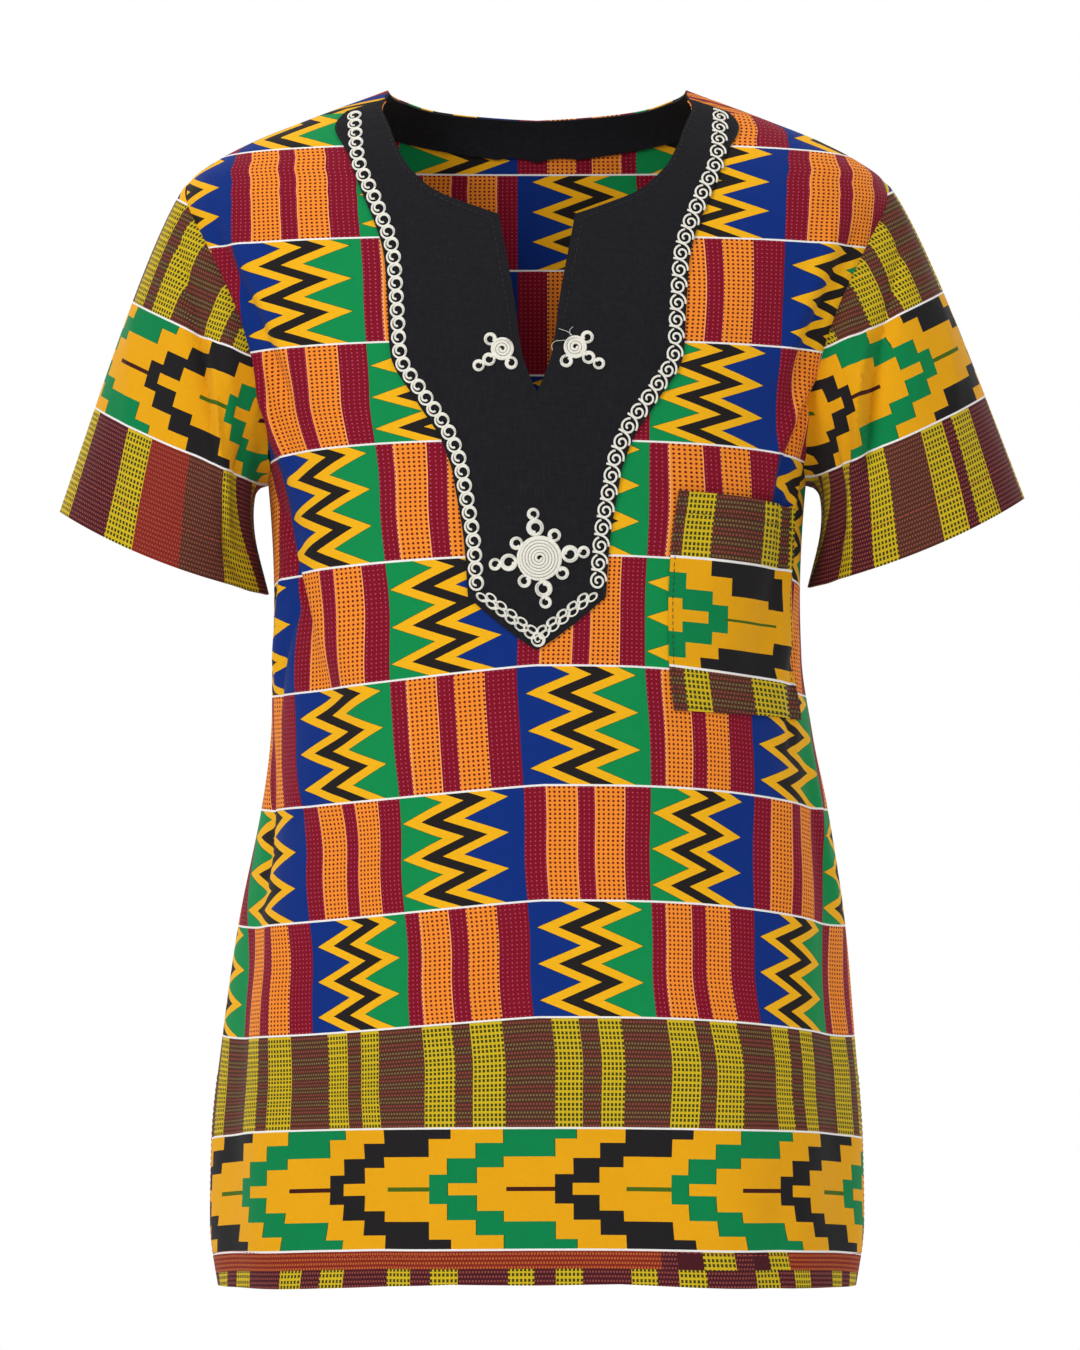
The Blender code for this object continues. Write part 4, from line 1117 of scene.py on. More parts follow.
class ShaderTree:
    """A material under construction."""

    def __init__(self, name: str) -> None:
        """Start an empty material.

        Args:
            name: The material's name.
        """
        self.material = bpy.data.materials.new(name)
        self.material.use_nodes = True
        self.nodes = self.material.node_tree.nodes
        self.links = self.material.node_tree.links
        self.nodes.clear()

    def node(self, kind: str, settings: dict[str, Any], values: dict[Any, Any]) -> bpy.types.Node:
        """Add a node.

        Args:
            kind: Its type.
            settings: Its own settings, with a ramp's stops under "stops".
            values: Numbers, colours or signals for its sockets, by name or number.

        Returns:
            The node.
        """
        made = self.nodes.new(kind)
        for key, value in settings.items():
            if key == "stops":
                self.set_stops(made.color_ramp, value)
            else:
                setattr(made, key, value)
        for key, value in values.items():
            if isinstance(value, Signal):
                self.links.new(value.socket, made.inputs[key])
            else:
                made.inputs[key].default_value = value
        return made

    def set_stops(self, ramp: bpy.types.ColorRamp, stops: Sequence[tuple[float, tuple[float, ...]]]) -> None:
        """Give a ramp hard stops.

        Args:
            ramp: The ramp.
            stops: Position and colour of each, rising.
        """
        ramp.interpolation = "CONSTANT"
        ramp.elements.remove(ramp.elements[-1])
        ramp.elements[0].position = stops[0][0]
        ramp.elements[0].color = stops[0][1]
        for position, colour in stops[1:]:
            ramp.elements.new(position).color = colour

    def signal(self, kind: str, settings: dict[str, Any], values: dict[Any, Any], output: Any = 0) -> Signal:
        """Add a node and take one of its outputs."""
        return Signal(self, self.node(kind, settings, values).outputs[output])

    def math(self, operation: str, *values: Any) -> Signal:
        """Add a Math node."""
        return self.signal("ShaderNodeMath", {"operation": operation}, dict(enumerate(values)))

    def mix(self, share: Any, first: Any, second: Any, blend: str = "MIX") -> Signal:
        """Mix two colours."""
        settings = {"data_type": "RGBA", "blend_type": blend}
        return self.signal("ShaderNodeMix", settings, {0: share, 6: first, 7: second}, 2)

    def paint(self, share: Any, ground: Any, colour: Colour) -> Signal:
        """The ground with a share of a colour in screen numbers laid over it."""
        return self.mix(share, ground, linear(colour))

    def stops(self, at: Signal, stops: Sequence[tuple[float, tuple[float, ...]]]) -> tuple[Signal, Signal]:
        """Read a ramp with hard stops.

        Args:
            at: Where to read it, 0 to 1.
            stops: Position and colour of each, its last number being a mask.

        Returns:
            The colour and the mask.
        """
        ramp = self.node("ShaderNodeValToRGB", {"stops": stops}, {0: at})
        return Signal(self, ramp.outputs[0]), Signal(self, ramp.outputs[1])

    def grain(self) -> tuple[Signal, Signal]:
        """Both numbers of the piece's place on its cloth."""
        place = self.signal("ShaderNodeUVMap", {"uv_map": "grain"}, {})
        apart = self.node("ShaderNodeSeparateXYZ", {}, {0: place})
        return Signal(self, apart.outputs[0]), Signal(self, apart.outputs[1])

    def point(self) -> Signal:
        """The place on the piece, in metres."""
        return self.signal("ShaderNodeTexCoord", {}, {}, "Object")

    def noise(self, scale: float, detail: float = 2.0, stretch: Size = (1.0, 1.0, 1.0)) -> Signal:
        """Soft noise over the piece, 0 to 1.

        Args:
            scale: Lumps in a metre.
            detail: Finer layers.
            stretch: How much finer it is along each axis.

        Returns:
            The noise.
        """
        place = self.signal("ShaderNodeMapping", {}, {"Vector": self.point(), "Scale": stretch})
        return self.signal("ShaderNodeTexNoise", {}, {"Vector": place, "Scale": scale, "Detail": detail})

    def shade(
        self, colour: Any, roughness: Any, height: Signal, deep: float, settings: dict[str, Any]
    ) -> bpy.types.Material:
        """Finish the material.

        Args:
            colour: Its colour.
            roughness: Its roughness.
            height: Its relief, 0 to 1.
            deep: Depth of the relief in metres.
            settings: Constant numbers for other sockets of its shader.

        Returns:
            The material.
        """
        bump = self.signal("ShaderNodeBump", {}, {"Height": height, "Distance": deep, "Strength": 0.8})
        values = {"Base Color": colour, "Roughness": roughness, "Normal": bump, **settings}
        shader = self.signal("ShaderNodeBsdfPrincipled", {}, values)
        self.node("ShaderNodeOutputMaterial", {}, {"Surface": shader})
        return self.material


# ---------------------------------------------------------------- finishes


class Piece(Enum):
    """The cut pieces of printed cloth, each with its own place on the print."""

    BODY = "body"
    SLEEVE_RIGHT = "sleeve_right"
    SLEEVE_LEFT = "sleeve_left"
    POCKET = "pocket"


@dataclass(frozen=True)
class Bands:
    """Where the print's bands start on one piece: a row, then metres, and the border's colours by millimetre."""

    strips_row: int
    strips_start: float
    green_tip: float
    border_start: float
    border: tuple[tuple[float, str], ...]


BODY_BORDER = (
    (0, "check"),
    (16, "wine"),
    (29, "check"),
    (46, "wine"),
    (77, "check"),
    (93, "wine"),
    (106, "check"),
    (123, "wine"),
)
RIGHT_BORDER = ((0, "check"), (8, "wine"), (44, "check"), (65, "ember"), (97, "bark"), (130, "check"))
LEFT_BORDER = (
    (0, "wine"),
    (31, "check"),
    (50, "wine"),
    (58, "check"),
    (77, "bark"),
    (107.5, "check"),
    (125, "wine"),
    (141.5, "check"),
)
BANDS = {
    Piece.BODY: Bands(8, -0.0779, 0.0785, -0.1044, BODY_BORDER),
    Piece.SLEEVE_RIGHT: Bands(0, 0.016, 0.138, 0.014, RIGHT_BORDER),
    Piece.SLEEVE_LEFT: Bands(0, 0.047, 0.057, 0.008, LEFT_BORDER),
}


@dataclass(frozen=True)
class KentePrint:
    """Wax-printed cotton: zigzag and dotted blocks in rows, then strips, steps and a border."""

    name: str
    piece: Piece
    yellow: Colour = (250, 184, 20)
    black: Colour = (31, 27, 26)
    green: Colour = (5, 142, 76)
    blue: Colour = (4, 46, 128)
    maroon: Colour = (132, 8, 36)
    pink: Colour = (200, 78, 104)
    orange: Colour = (250, 144, 44)
    peach: Colour = (255, 172, 104)
    dark_red: Colour = (104, 20, 18)
    white: Colour = (246, 243, 240)
    brown: Colour = (80, 46, 32)
    straw: Colour = (214, 184, 30)
    moss: Colour = (60, 64, 16)
    gold: Colour = (238, 169, 12)
    fern: Colour = (0, 132, 74)
    ember: Colour = (136, 38, 26)
    wine: Colour = (74, 22, 32)
    olive: Colour = (70, 105, 20)
    umber: Colour = (66, 22, 14)
    ink: Colour = (30, 28, 30)
    pine: Colour = (20, 90, 40)
    shadow: Colour = (40, 50, 20)
    rust: Colour = (178, 92, 78)
    apricot: Colour = (224, 132, 58)
    sand: Colour = (150, 134, 84)
    brick: Colour = (176, 84, 72)

    # Where the blocks' repeat starts, and half the width of the white lines in shares of a row
    BLOCKS_START = 0.0862
    LINE_HALF = 0.0088
    # Zigzag: its wave in shares of a row, then its swing and the half widths of gold and black
    WAVE = 0.3122
    SWING = 0.0135
    GOLD_HALF = 0.0199
    BLACK_HALF = 0.0071
    # Orange stripes of a block, each from and to, and the width of their paler edges
    STRIPES = ((0.0097, 0.0288), (0.0394, 0.0585), (0.0908, 0.1108), (0.1211, 0.1401))
    STRIPE_EDGE = 0.0007
    # Near and far edges of an arrow's arm: share of the way out from the middle, and decimetres along
    ARM_NEAR = ((0.0, 0.0), (0.242, 0.115), (0.504, 0.29), (0.756, 0.46))
    ARM_FAR = ((0.0, 0.11), (0.094, 0.286), (0.352, 0.45), (0.53, 0.77), (0.822, 0.905))
    # Strips below the blocks: where each starts in millimetres, and 1 for bright or 0 for brown
    STRIPS = ((0, 1), (18.5, 0), (29.3, 1), (49.3, 0), (79.8, 1), (97.1, 0), (108.7, 1), (123.9, 0))
    # Pitch of the dots across and down, and of the dashes and specks across
    DOTS = (0.0030, 0.00275)
    DASHES = 0.0025
    SPECKS = 0.0019
    # The pocket's width and height in metres
    POCKET_SIZE = (0.076, 0.138)

    def dots(self, tree: ShaderTree, u: Signal, v: Signal, size: Any) -> Signal:
        """Round dots in a square grid."""
        across, down = (place % pitch - pitch / 2 for place, pitch in zip((u, v), self.DOTS))
        return tree.math("SQRT", across * across + down * down) < size

    def dashes(self, u: Signal, v: Signal) -> Signal:
        """Upright dashes in pairs of rows."""
        down = v % 0.0066
        return (down.within(0.0003, 0.0023) | down.within(0.0033, 0.0053)) * ((u % self.DASHES) < 0.0015)

    def specks(self, u: Signal, v: Signal) -> Signal:
        """Fine specks, every other row of them moved half a step."""
        row = v % 0.0056
        half = row > 0.0028
        return ((row % 0.0028) < 0.0013) * (((u + half * (self.SPECKS / 2)) % self.SPECKS) < 0.0010)

    def strip_colours(self, tree: ShaderTree, u: Signal, v: Signal, bright: Signal) -> Signal:
        """Dashed yellow where bright is 1, speckled brown elsewhere."""
        straw = tree.paint(self.dashes(u, v), linear(self.straw), self.moss)
        tint = tree.paint((v % 0.0112) < 0.0056, linear(self.sand), self.brick)
        brown = tree.mix(self.specks(u, v) * 0.62, linear(self.brown), tint)
        return tree.mix(bright, brown, straw)

    def zigzag(self, tree: ShaderTree, phase: Signal, odd: Signal, down: Signal) -> Signal:
        """Black zigzag edged with yellow, on green and blue."""
        across = phase - odd * (REPEAT / 2)
        wave = ((down - 0.23) % self.WAVE) / self.WAVE
        off = across - (0.0348 + 0.0037 * odd) - self.SWING * (1 - 4 * abs(wave - 0.5))
        away = abs(off)
        ground = tree.paint(abs((off > 0.0) - odd), linear(self.green), self.blue)
        ground = tree.paint((away < self.GOLD_HALF + 0.0008) * 0.7, ground, self.shadow)
        gold = tree.paint(away < self.GOLD_HALF, ground, self.yellow)
        return tree.paint(away < self.BLACK_HALF, gold, self.black)

    def stripes(self, tree: ShaderTree, phase: Signal, u: Signal, v: Signal) -> Signal:
        """Orange and maroon stripes with rows of dots."""
        marks = [(0.0, self.maroon, 0.0)]
        for low, high in self.STRIPES:
            marks += [(low, self.peach, 1.0), (low + self.STRIPE_EDGE, self.orange, 1.0)]
            marks += [(high - self.STRIPE_EDGE, self.peach, 1.0), (high, self.maroon, 0.0)]
        stops = [(at / REPEAT, (*linear(colour)[:3], mask)) for at, colour, mask in marks]
        ground, warm = tree.stops(phase / REPEAT, stops)
        dots = self.dots(tree, u, v, 0.00042 + 0.00034 * warm)
        return tree.mix(dots, ground, tree.paint(warm, linear(self.pink), self.dark_red))

    def steps(self, tree: ShaderTree, u: Signal, down: Signal, bands: Bands) -> Signal:
        """Green and black stepped arrows on gold."""
        half = abs(down - 0.5) * 2
        near, far = (
            tree.stops(half, [(at, (along, along, along, 1.0)) for at, along in table])[0]
            for table in (self.ARM_NEAR, self.ARM_FAR)
        )
        green = (u - bands.green_tip) % STEPS_REPEAT
        black = (u - bands.green_tip - STEPS_REPEAT / 2) % STEPS_REPEAT
        shaft = half < 0.035
        colour = tree.paint(shaft * (green > 0.124), linear(self.gold), self.olive)
        colour = tree.paint(shaft * (black > 0.124), colour, self.umber)
        for x, grow, ink in ((green, 0.0006, self.pine), (green, 0.0, self.fern), (black, 0.0, self.ink)):
            colour = tree.paint(((x + grow) > near * 0.1) * ((x - grow) < far * 0.1), colour, ink)
        return colour

    def border(self, tree: ShaderTree, u: Signal, v: Signal, down: Signal, bands: Bands) -> Signal:
        """The band at the edge: checks on wine, and on the body a dotted ember line above."""
        checks = {"check": self.straw, "wine": self.wine, "ember": self.ember, "bark": self.brown}
        stops = [
            (mm / (1000 * STEPS_REPEAT), (*linear(checks[kind])[:3], 1.0 if kind == "check" else 0.0))
            for mm, kind in bands.border
        ]
        ground, bright = tree.stops(((u - bands.border_start) % STEPS_REPEAT) / STEPS_REPEAT, stops)
        dots = self.specks(u, v) * (1 - bright) * 0.6
        colour = tree.paint(self.dashes(u, v) * bright, ground, self.moss)
        colour = tree.paint(dots, colour, self.rust)
        if self.piece is not Piece.BODY:
            return colour
        dotted = tree.paint(self.specks(u, v) * 0.6, linear(self.ember), self.apricot)
        straw = tree.paint(self.dashes(u, v), linear(self.straw), self.moss)
        wine = tree.paint(dots, linear(self.wine), self.rust)
        second = tree.mix(u.within(0.0950, 0.1144) | (u > 0.1382), wine, straw)
        dotted = tree.mix(u.within(0.0690, 0.1533), dotted, second)
        return tree.mix(down < 0.165, colour, dotted)

    def pocket(self, tree: ShaderTree, right: Signal, down: Signal) -> Signal:
        """The pocket's own cut of the strips and steps."""
        width, height = self.POCKET_SIZE
        x, y = right * width, (down * (height - 0.0074 * right)) + 0.0025 * right - 0.0776
        size = abs(y)
        steps = tree.paint((x < 0.0100) * (size < 0.0265), linear(self.gold), self.fern)
        steps = tree.paint(x.within(0.0099, 0.0259) * (size < 0.0166), steps, self.fern)
        steps = tree.paint(x.within(0.0258, 0.0351) * (size < 0.0086), steps, self.fern)
        steps = tree.paint((x < 0.0080) * (size < 0.0105) | (x < 0.0234) * (size < 0.0037), steps, self.gold)
        steps = tree.paint(x.within(0.0333, 0.0653) * (size < 0.0008), steps, self.olive)
        black = x.within(0.0246, 0.0382) * (y < -0.0260) | x.within(0.0370, 0.0640) * (y < -0.0150)
        black = black | x.within(0.0600, 0.0700) * y.within(-0.0300, -0.0100)
        black = black | x.within(0.0187, 0.0326) * y.within(0.0252, 0.0320)
        black = black | x.within(0.0300, 0.0646) * (y > 0.0180) | x.within(0.0646, 0.0776) * y.within(0.0105, 0.0260)
        steps = tree.paint(black, steps, self.ink)
        upper = self.strip_colours(tree, x, y, x.within(0.0062, 0.0234) | x.within(0.0536, 0.0660) | (x > 0.0730))
        lower = self.strip_colours(tree, x, y, x.within(0.0080, 0.0228) | x.within(0.0480, 0.0690))
        top, foot = down - 0.300, down - 0.795 - 0.040 * right
        colour = tree.mix(foot > 0.0, tree.mix(top < 0.0, steps, upper), lower)
        return tree.paint((abs(top) < 0.0056) | (abs(foot) < 0.0056), colour, self.white)

    def colour(self, tree: ShaderTree, u: Signal, row: Signal, v: Signal) -> Signal:
        """The printed colour of a piece of the body or a sleeve.

        Args:
            tree: The material's tree.
            u: Metres across the cloth.
            row: Row of the print.
            v: Metres down the cloth.

        Returns:
            The colour.
        """
        bands = BANDS[self.piece]
        number = tree.math("FLOOR", row)
        down, odd = row - number, number % 2.0
        phase = (u + self.BLOCKS_START) % REPEAT
        plain = abs(odd - (phase < REPEAT / 2))
        blocks = tree.mix(plain, self.stripes(tree, phase, u, v), self.zigzag(tree, phase, odd, down))
        at = ((u - bands.strips_start) % STRIPS_REPEAT) / STRIPS_REPEAT
        stops = [(mm / (1000 * STRIPS_REPEAT), (1.0, 1.0, 1.0, float(on))) for mm, on in self.STRIPS]
        strips = self.strip_colours(tree, u, v, tree.stops(at, stops)[1])
        colour = tree.mix(row > float(bands.strips_row), blocks, strips)
        colour = tree.mix(row > bands.strips_row + 1.0, colour, self.steps(tree, u, down, bands))
        colour = tree.mix(row > bands.strips_row + 2.0, colour, self.border(tree, u, v, down, bands))
        line = abs(tree.math("SUBTRACT", row, tree.math("ROUND", row))) < self.LINE_HALF
        return tree.paint(line * (row < bands.strips_row + 2.5), colour, self.white)

    def build(self) -> bpy.types.Material:
        """Make the material.

        Returns:
            The printed cloth.
        """
        tree = ShaderTree(self.name)
        u, row = tree.grain()
        if self.piece is Piece.POCKET:
            wide, high = self.POCKET_SIZE
            colour, u, v = self.pocket(tree, u, row), u * wide, row * high
        else:
            v = row * ROW_HEIGHT
            colour = self.colour(tree, u, row, v)
        uneven = tree.noise(28.0, 3.0) * 0.16 + tree.noise(420.0, 2.0) * 0.18
        colour = tree.mix(1.0, colour, tree.mix(uneven, WHITE, (0.62, 0.60, 0.60, 1.0)), "MULTIPLY")
        weave = tree.math("SINE", u * 7850.0) * tree.math("SINE", v * 7850.0)
        height = 0.5 + weave * 0.22 + (tree.noise(650.0, 3.0) - 0.5) * 0.35 + (tree.noise(60.0, 2.0) - 0.5) * 0.8
        height = height + (tree.noise(13.0, 2.0, (1.0, 1.0, 0.55)) - 0.5) * 9.0
        rough = 0.74 + tree.noise(90.0) * 0.16
        return tree.shade(colour, rough, height, 0.0004, {"Specular IOR Level": 0.14, "Sheen Weight": 0.03})


@dataclass(frozen=True)
class BlackCotton:
    """Plain black cotton with a close weave and a little lint."""

    name: str = "black_yoke_cotton"
    colour: Colour = (14, 14, 18)
    lint: Colour = (50, 50, 56)

    def build(self) -> bpy.types.Material:
        """Make the material.

        Returns:
            The black cloth.
        """
        tree = ShaderTree(self.name)
        across, down = tree.noise(900.0, 2.0, (1.0, 1.0, 0.12)), tree.noise(900.0, 2.0, (0.12, 1.0, 1.0))
        patches = tree.noise(22.0, 4.0)
        fibre = tree.math("POWER", across * 0.55 + down * 0.45, 3.0)
        colour = tree.paint(fibre * 0.8 + patches * 0.08, linear(self.colour), self.lint)
        height = across * 0.5 + down * 0.5 + tree.noise(40.0, 2.0) * 0.8 + tree.noise(14.0, 2.0, (1.0, 1.0, 0.5)) * 8.0
        sheen = {"Specular IOR Level": 0.16, "Sheen Weight": 0.03}
        return tree.shade(colour, 0.80 + patches * 0.12, height, 0.0004, sheen)


@dataclass(frozen=True)
class IvoryCord:
    """Twisted ivory cord of cotton and rayon."""

    name: str = "ivory_scroll_cord"
    colour: Colour = (250, 248, 238)
    # Darker ivory painted into the grooves of the twist as shade
    shade: Colour = (192, 184, 164)

    def build(self) -> bpy.types.Material:
        """Make the material.

        Returns:
            The cord.
        """
        tree = ShaderTree(self.name)
        values = {"Vector": tree.point(), "Scale": 420.0, "Distortion": 3.0, "Detail": 2.0}
        twist = tree.signal("ShaderNodeTexWave", {"bands_direction": "DIAGONAL"}, values)
        fluff = tree.noise(1500.0, 3.0)
        # Painted shade: the twist's diagonal bands darken the cord towards its shade colour, as in the grooves between
        # its plies; the fluff adds random fibre tone
        colour = tree.paint(twist * 0.30 + fluff * 0.25, linear(self.colour), self.shade)
        sheen = {"Specular IOR Level": 0.35, "Sheen Weight": 0.12}
        return tree.shade(colour, 0.62 + fluff * 0.2, twist * 0.6 + fluff * 0.6, 0.0003, sheen)


@dataclass(frozen=True)
class Thread:
    """Sewing thread of one colour."""

    name: str
    colour: Colour

    def build(self) -> bpy.types.Material:
        """Make the material.

        Returns:
            The thread.
        """
        tree = ShaderTree(self.name)
        twist = tree.noise(2200.0, 2.0)
        pale = tuple(min(255.0, c * 1.25 + 12) for c in self.colour)
        colour = tree.paint(twist, linear(self.colour), pale)
        return tree.shade(colour, 0.6 + twist * 0.1, twist, 0.0001, {"Specular IOR Level": 0.4})


@dataclass(frozen=True)
class PaleFloor:
    """Matt pale paper under the top."""

    name: str = "pale_floor"
    colour: Colour = (250, 250, 250)
    shade: Colour = (236, 236, 238)

    def build(self) -> bpy.types.Material:
        """Make the material.

        Returns:
            The paper.
        """
        tree = ShaderTree(self.name)
        tone = tree.noise(3.0, 2.0)
        colour = tree.paint(tone * 0.04, linear(self.colour), self.shade)
        return tree.shade(colour, 0.9, tone, 0.0001, {"Specular IOR Level": 0.1})


@dataclass(frozen=True)
class Finishes:
    """Every material of the top, made once."""

    front: bpy.types.Material
    back: bpy.types.Material
    sleeve_right: bpy.types.Material
    sleeve_left: bpy.types.Material
    pocket: bpy.types.Material
    black: bpy.types.Material
    cord: bpy.types.Material
    dark_thread: bpy.types.Material
    warm_thread: bpy.types.Material

    @classmethod
    def build(cls) -> "Finishes":
        """Make every material."""
        body = KentePrint("printed_cotton_body", Piece.BODY).build()
        return cls(
            front=body,
            back=body,
            sleeve_right=KentePrint("printed_cotton_sleeve_right", Piece.SLEEVE_RIGHT).build(),
            sleeve_left=KentePrint("printed_cotton_sleeve_left", Piece.SLEEVE_LEFT).build(),
            pocket=KentePrint("printed_cotton_pocket", Piece.POCKET).build(),
            black=BlackCotton().build(),
            cord=IvoryCord().build(),
            dark_thread=Thread("dark_thread", (22, 20, 24)).build(),
            warm_thread=Thread("warm_thread", (150, 60, 30)).build(),
        )


# ---------------------------------------------------------------- repeated shapes


class GeometryTree:
    """A Geometry Nodes tree under construction, with named inputs."""

    KINDS = {float: "NodeSocketFloat", bool: "NodeSocketBool", type(None): "NodeSocketMaterial"}

    def __init__(self, name: str, inputs: dict[str, Any]) -> None:
        """Start the tree.

        Args:
            name: Its name.
            inputs: Default of each named input; None for a material.
        """
        self.group = bpy.data.node_groups.new(name, "GeometryNodeTree")
        face = self.group.interface
        face.new_socket("Geometry", in_out="INPUT", socket_type="NodeSocketGeometry")
        for label, default in inputs.items():
            socket = face.new_socket(label, in_out="INPUT", socket_type=self.KINDS[type(default)])
            if default is not None:
                socket.default_value = default
        face.new_socket("Geometry", in_out="OUTPUT", socket_type="NodeSocketGeometry")
        self.start = self.group.nodes.new("NodeGroupInput").outputs
        self.end = self.group.nodes.new("NodeGroupOutput").inputs[0]

    def node(self, kind: str, settings: dict[str, Any], values: dict[Any, Any]) -> Any:
        """Add a node.

        Args:
            kind: Its type.
            settings: Its own settings.
            values: Values or links of its sockets, by name or number.

        Returns:
            Its outputs.
        """
        made = self.group.nodes.new(kind)
        for key, value in settings.items():
            setattr(made, key, value)
        for key, value in values.items():
            if isinstance(value, bpy.types.NodeSocket):
                self.group.links.new(value, made.inputs[key])
            else:
                made.inputs[key].default_value = value
        return made.outputs

    def attribute(self, name: str) -> Any:
        """Read a vector stored on the points."""
        return self.node("GeometryNodeInputNamedAttribute", {"data_type": "FLOAT_VECTOR"}, {"Name": name})[0]

    def set_out(self, shape: Any) -> None:
        """Put a copy of the shape on each point and end the tree.

        Args:
            shape: Geometry of one copy, along X, with Z outward.
        """
        axes = {"primary_axis": "Z", "secondary_axis": "X"}
        ways = {0: self.attribute("out"), 1: self.attribute("way")}
        turned = self.node("FunctionNodeAxesToRotation", axes, ways)[0]
        copies = self.node(
            "GeometryNodeInstanceOnPoints",
            {},
            {"Points": self.start[0], "Instance": shape, "Rotation": turned, "Scale": self.attribute("stretch")},
        )[0]
        real = self.node("GeometryNodeRealizeInstances", {}, {0: copies})[0]
        smooth = self.node("GeometryNodeSetShadeSmooth", {}, {0: real})[0]
        dressed = self.node("GeometryNodeSetMaterial", {}, {"Geometry": smooth, "Material": self.start["Finish"]})[0]
        self.group.links.new(dressed, self.end)

    def run(self, name: str, marks: "Marks", values: dict[str, Any]) -> bpy.types.Mesh:
        """Turn the points into a plain mesh of copies.

        Args:
            name: Name of the mesh.
            marks: Where the copies go.
            values: Values of the named inputs.

        Returns:
            The mesh.
        """
        seed = bpy.data.meshes.new(name + "_marks")
        seed.from_pydata(marks.points.tolist(), [], [])
        for label, vectors in (("way", marks.way), ("out", marks.out), ("stretch", marks.stretch)):
            stored = seed.attributes.new(label, "FLOAT_VECTOR", "POINT")
            stored.data.foreach_set("vector", vectors.astype(np.float32).ravel())
        holder = bpy.data.objects.new(name + "_marks", seed)
        bpy.context.scene.collection.objects.link(holder)
        modifier = holder.modifiers.new(name, "NODES")
        modifier.node_group = self.group
        for item in self.group.interface.items_tree:
            if item.in_out == "INPUT" and item.name in values:
                modifier[item.identifier] = values[item.name]
        graph = bpy.context.evaluated_depsgraph_get()
        mesh = bpy.data.meshes.new_from_object(holder.evaluated_get(graph))
        mesh.name = name
        bpy.data.objects.remove(holder)
        return mesh


@dataclass
class Marks:
    """Places for copies of a shape: point, way along, way outward and stretch of each."""

    points: Array
    way: Array
    out: Array
    stretch: Array

    @classmethod
    def on_line(cls, line: Array, out: Array, pitch: float, stretch: Size = (1.0, 1.0, 1.0)) -> "Marks":
        """Evenly spaced places along a line on a surface.

        Args:
            line: Points of the line.
            out: Outward normal at each point.
            pitch: Distance between places.
            stretch: Stretch of every copy.

        Returns:
            The places.
        """
        run = run_along(np.diff(line, axis=0))
        count = max(2, round(run[-1] / pitch))
        at = (np.arange(count) + 0.5) * run[-1] / count
        points, outward = (
            np.stack([np.interp(at, run, values[:, k]) for k in range(3)], axis=1) for values in (line, out)
        )
        return cls(points, unit(np.gradient(points, axis=0)), unit(outward), np.tile(stretch, (count, 1)))

    @classmethod
    def together(cls, runs: Sequence["Marks"]) -> "Marks":
        """All the places of several runs, in their order."""
        columns = zip(*[(run.points, run.way, run.out, run.stretch) for run in runs])
        return cls(*[np.concatenate(column) for column in columns])


def stitch_tree() -> GeometryTree:
    """A tree that lays one short stitch on each point.

    Returns:
        The tree.
    """
    tree = GeometryTree("laid_stitches", {"Length": 0.003, "Width": 0.0006, "Finish": None})
    length, width = tree.start["Length"], tree.start["Width"]
    size = tree.node("ShaderNodeCombineXYZ", {}, {0: length, 1: width, 2: width})[0]
    ball = tree.node("GeometryNodeMeshUVSphere", {}, {"Segments": 6, "Rings": 4, "Radius": 0.5})[0]
    tree.set_out(tree.node("GeometryNodeTransform", {}, {"Geometry": ball, "Scale": size})[0])
    return tree


def coil_tree() -> GeometryTree:
    """A tree that lays one flat coil of cord on each point, closed by a ring if asked.

    Returns:
        The tree.
    """
    sizes = {"Turns": 1.0, "Inner Radius": 0.001, "Outer Radius": 0.0035, "Cord Radius": 0.0009}
    tree = GeometryTree("cord_coils", sizes | {"Closed": True, "Finish": None})
    start = tree.start
    radius = start["Outer Radius"]
    turns = {"Rotations": start["Turns"], "Start Radius": start["Inner Radius"], "End Radius": radius}
    spiral = tree.node("GeometryNodeCurveSpiral", {}, {"Resolution": 22, "Height": 0.0} | turns)[0]
    ring = tree.node("GeometryNodeCurvePrimitiveCircle", {}, {"Resolution": 24, "Radius": radius})[0]
    # The open coil's tail: a bend from its top, out behind it and down to the next coil
    back = tree.node("ShaderNodeMath", {"operation": "MULTIPLY"}, {0: radius, 1: -1.0})[0]
    reach = tree.node("ShaderNodeMath", {"operation": "MULTIPLY"}, {0: back, 1: 1.32})[0]
    low = tree.node("ShaderNodeMath", {"operation": "MULTIPLY"}, {0: back, 1: 0.94})[0]
    bend = {
        corner: tree.node("ShaderNodeCombineXYZ", {}, {0: x, 1: y})[0]
        for corner, x, y in (("Start", 0.0, radius), ("Middle", reach, radius), ("End", reach, low))
    }
    tail = tree.node("GeometryNodeCurveQuadraticBezier", {}, {"Resolution": 8} | bend)[0]
    closed = tree.node("GeometryNodeSwitch", {"input_type": "GEOMETRY"}, {0: start["Closed"], 1: tail, 2: ring})[0]
    both = tree.group.nodes.new("GeometryNodeJoinGeometry")
    for part in (spiral, closed):
        tree.group.links.new(part, both.inputs[0])
    profile = tree.node("GeometryNodeCurvePrimitiveCircle", {}, {"Resolution": 6, "Radius": start["Cord Radius"]})[0]
    cord = {"Curve": both.outputs[0], "Profile Curve": profile, "Fill Caps": True}
    tree.set_out(tree.node("GeometryNodeCurveToMesh", {}, cord)[0])
    return tree


def vertices_of(mesh: bpy.types.Mesh) -> Array:
    """A mesh's points, one row each."""
    flat = np.empty(len(mesh.vertices) * 3, np.float32)
    mesh.vertices.foreach_get("co", flat)
    return flat.reshape(-1, 3)


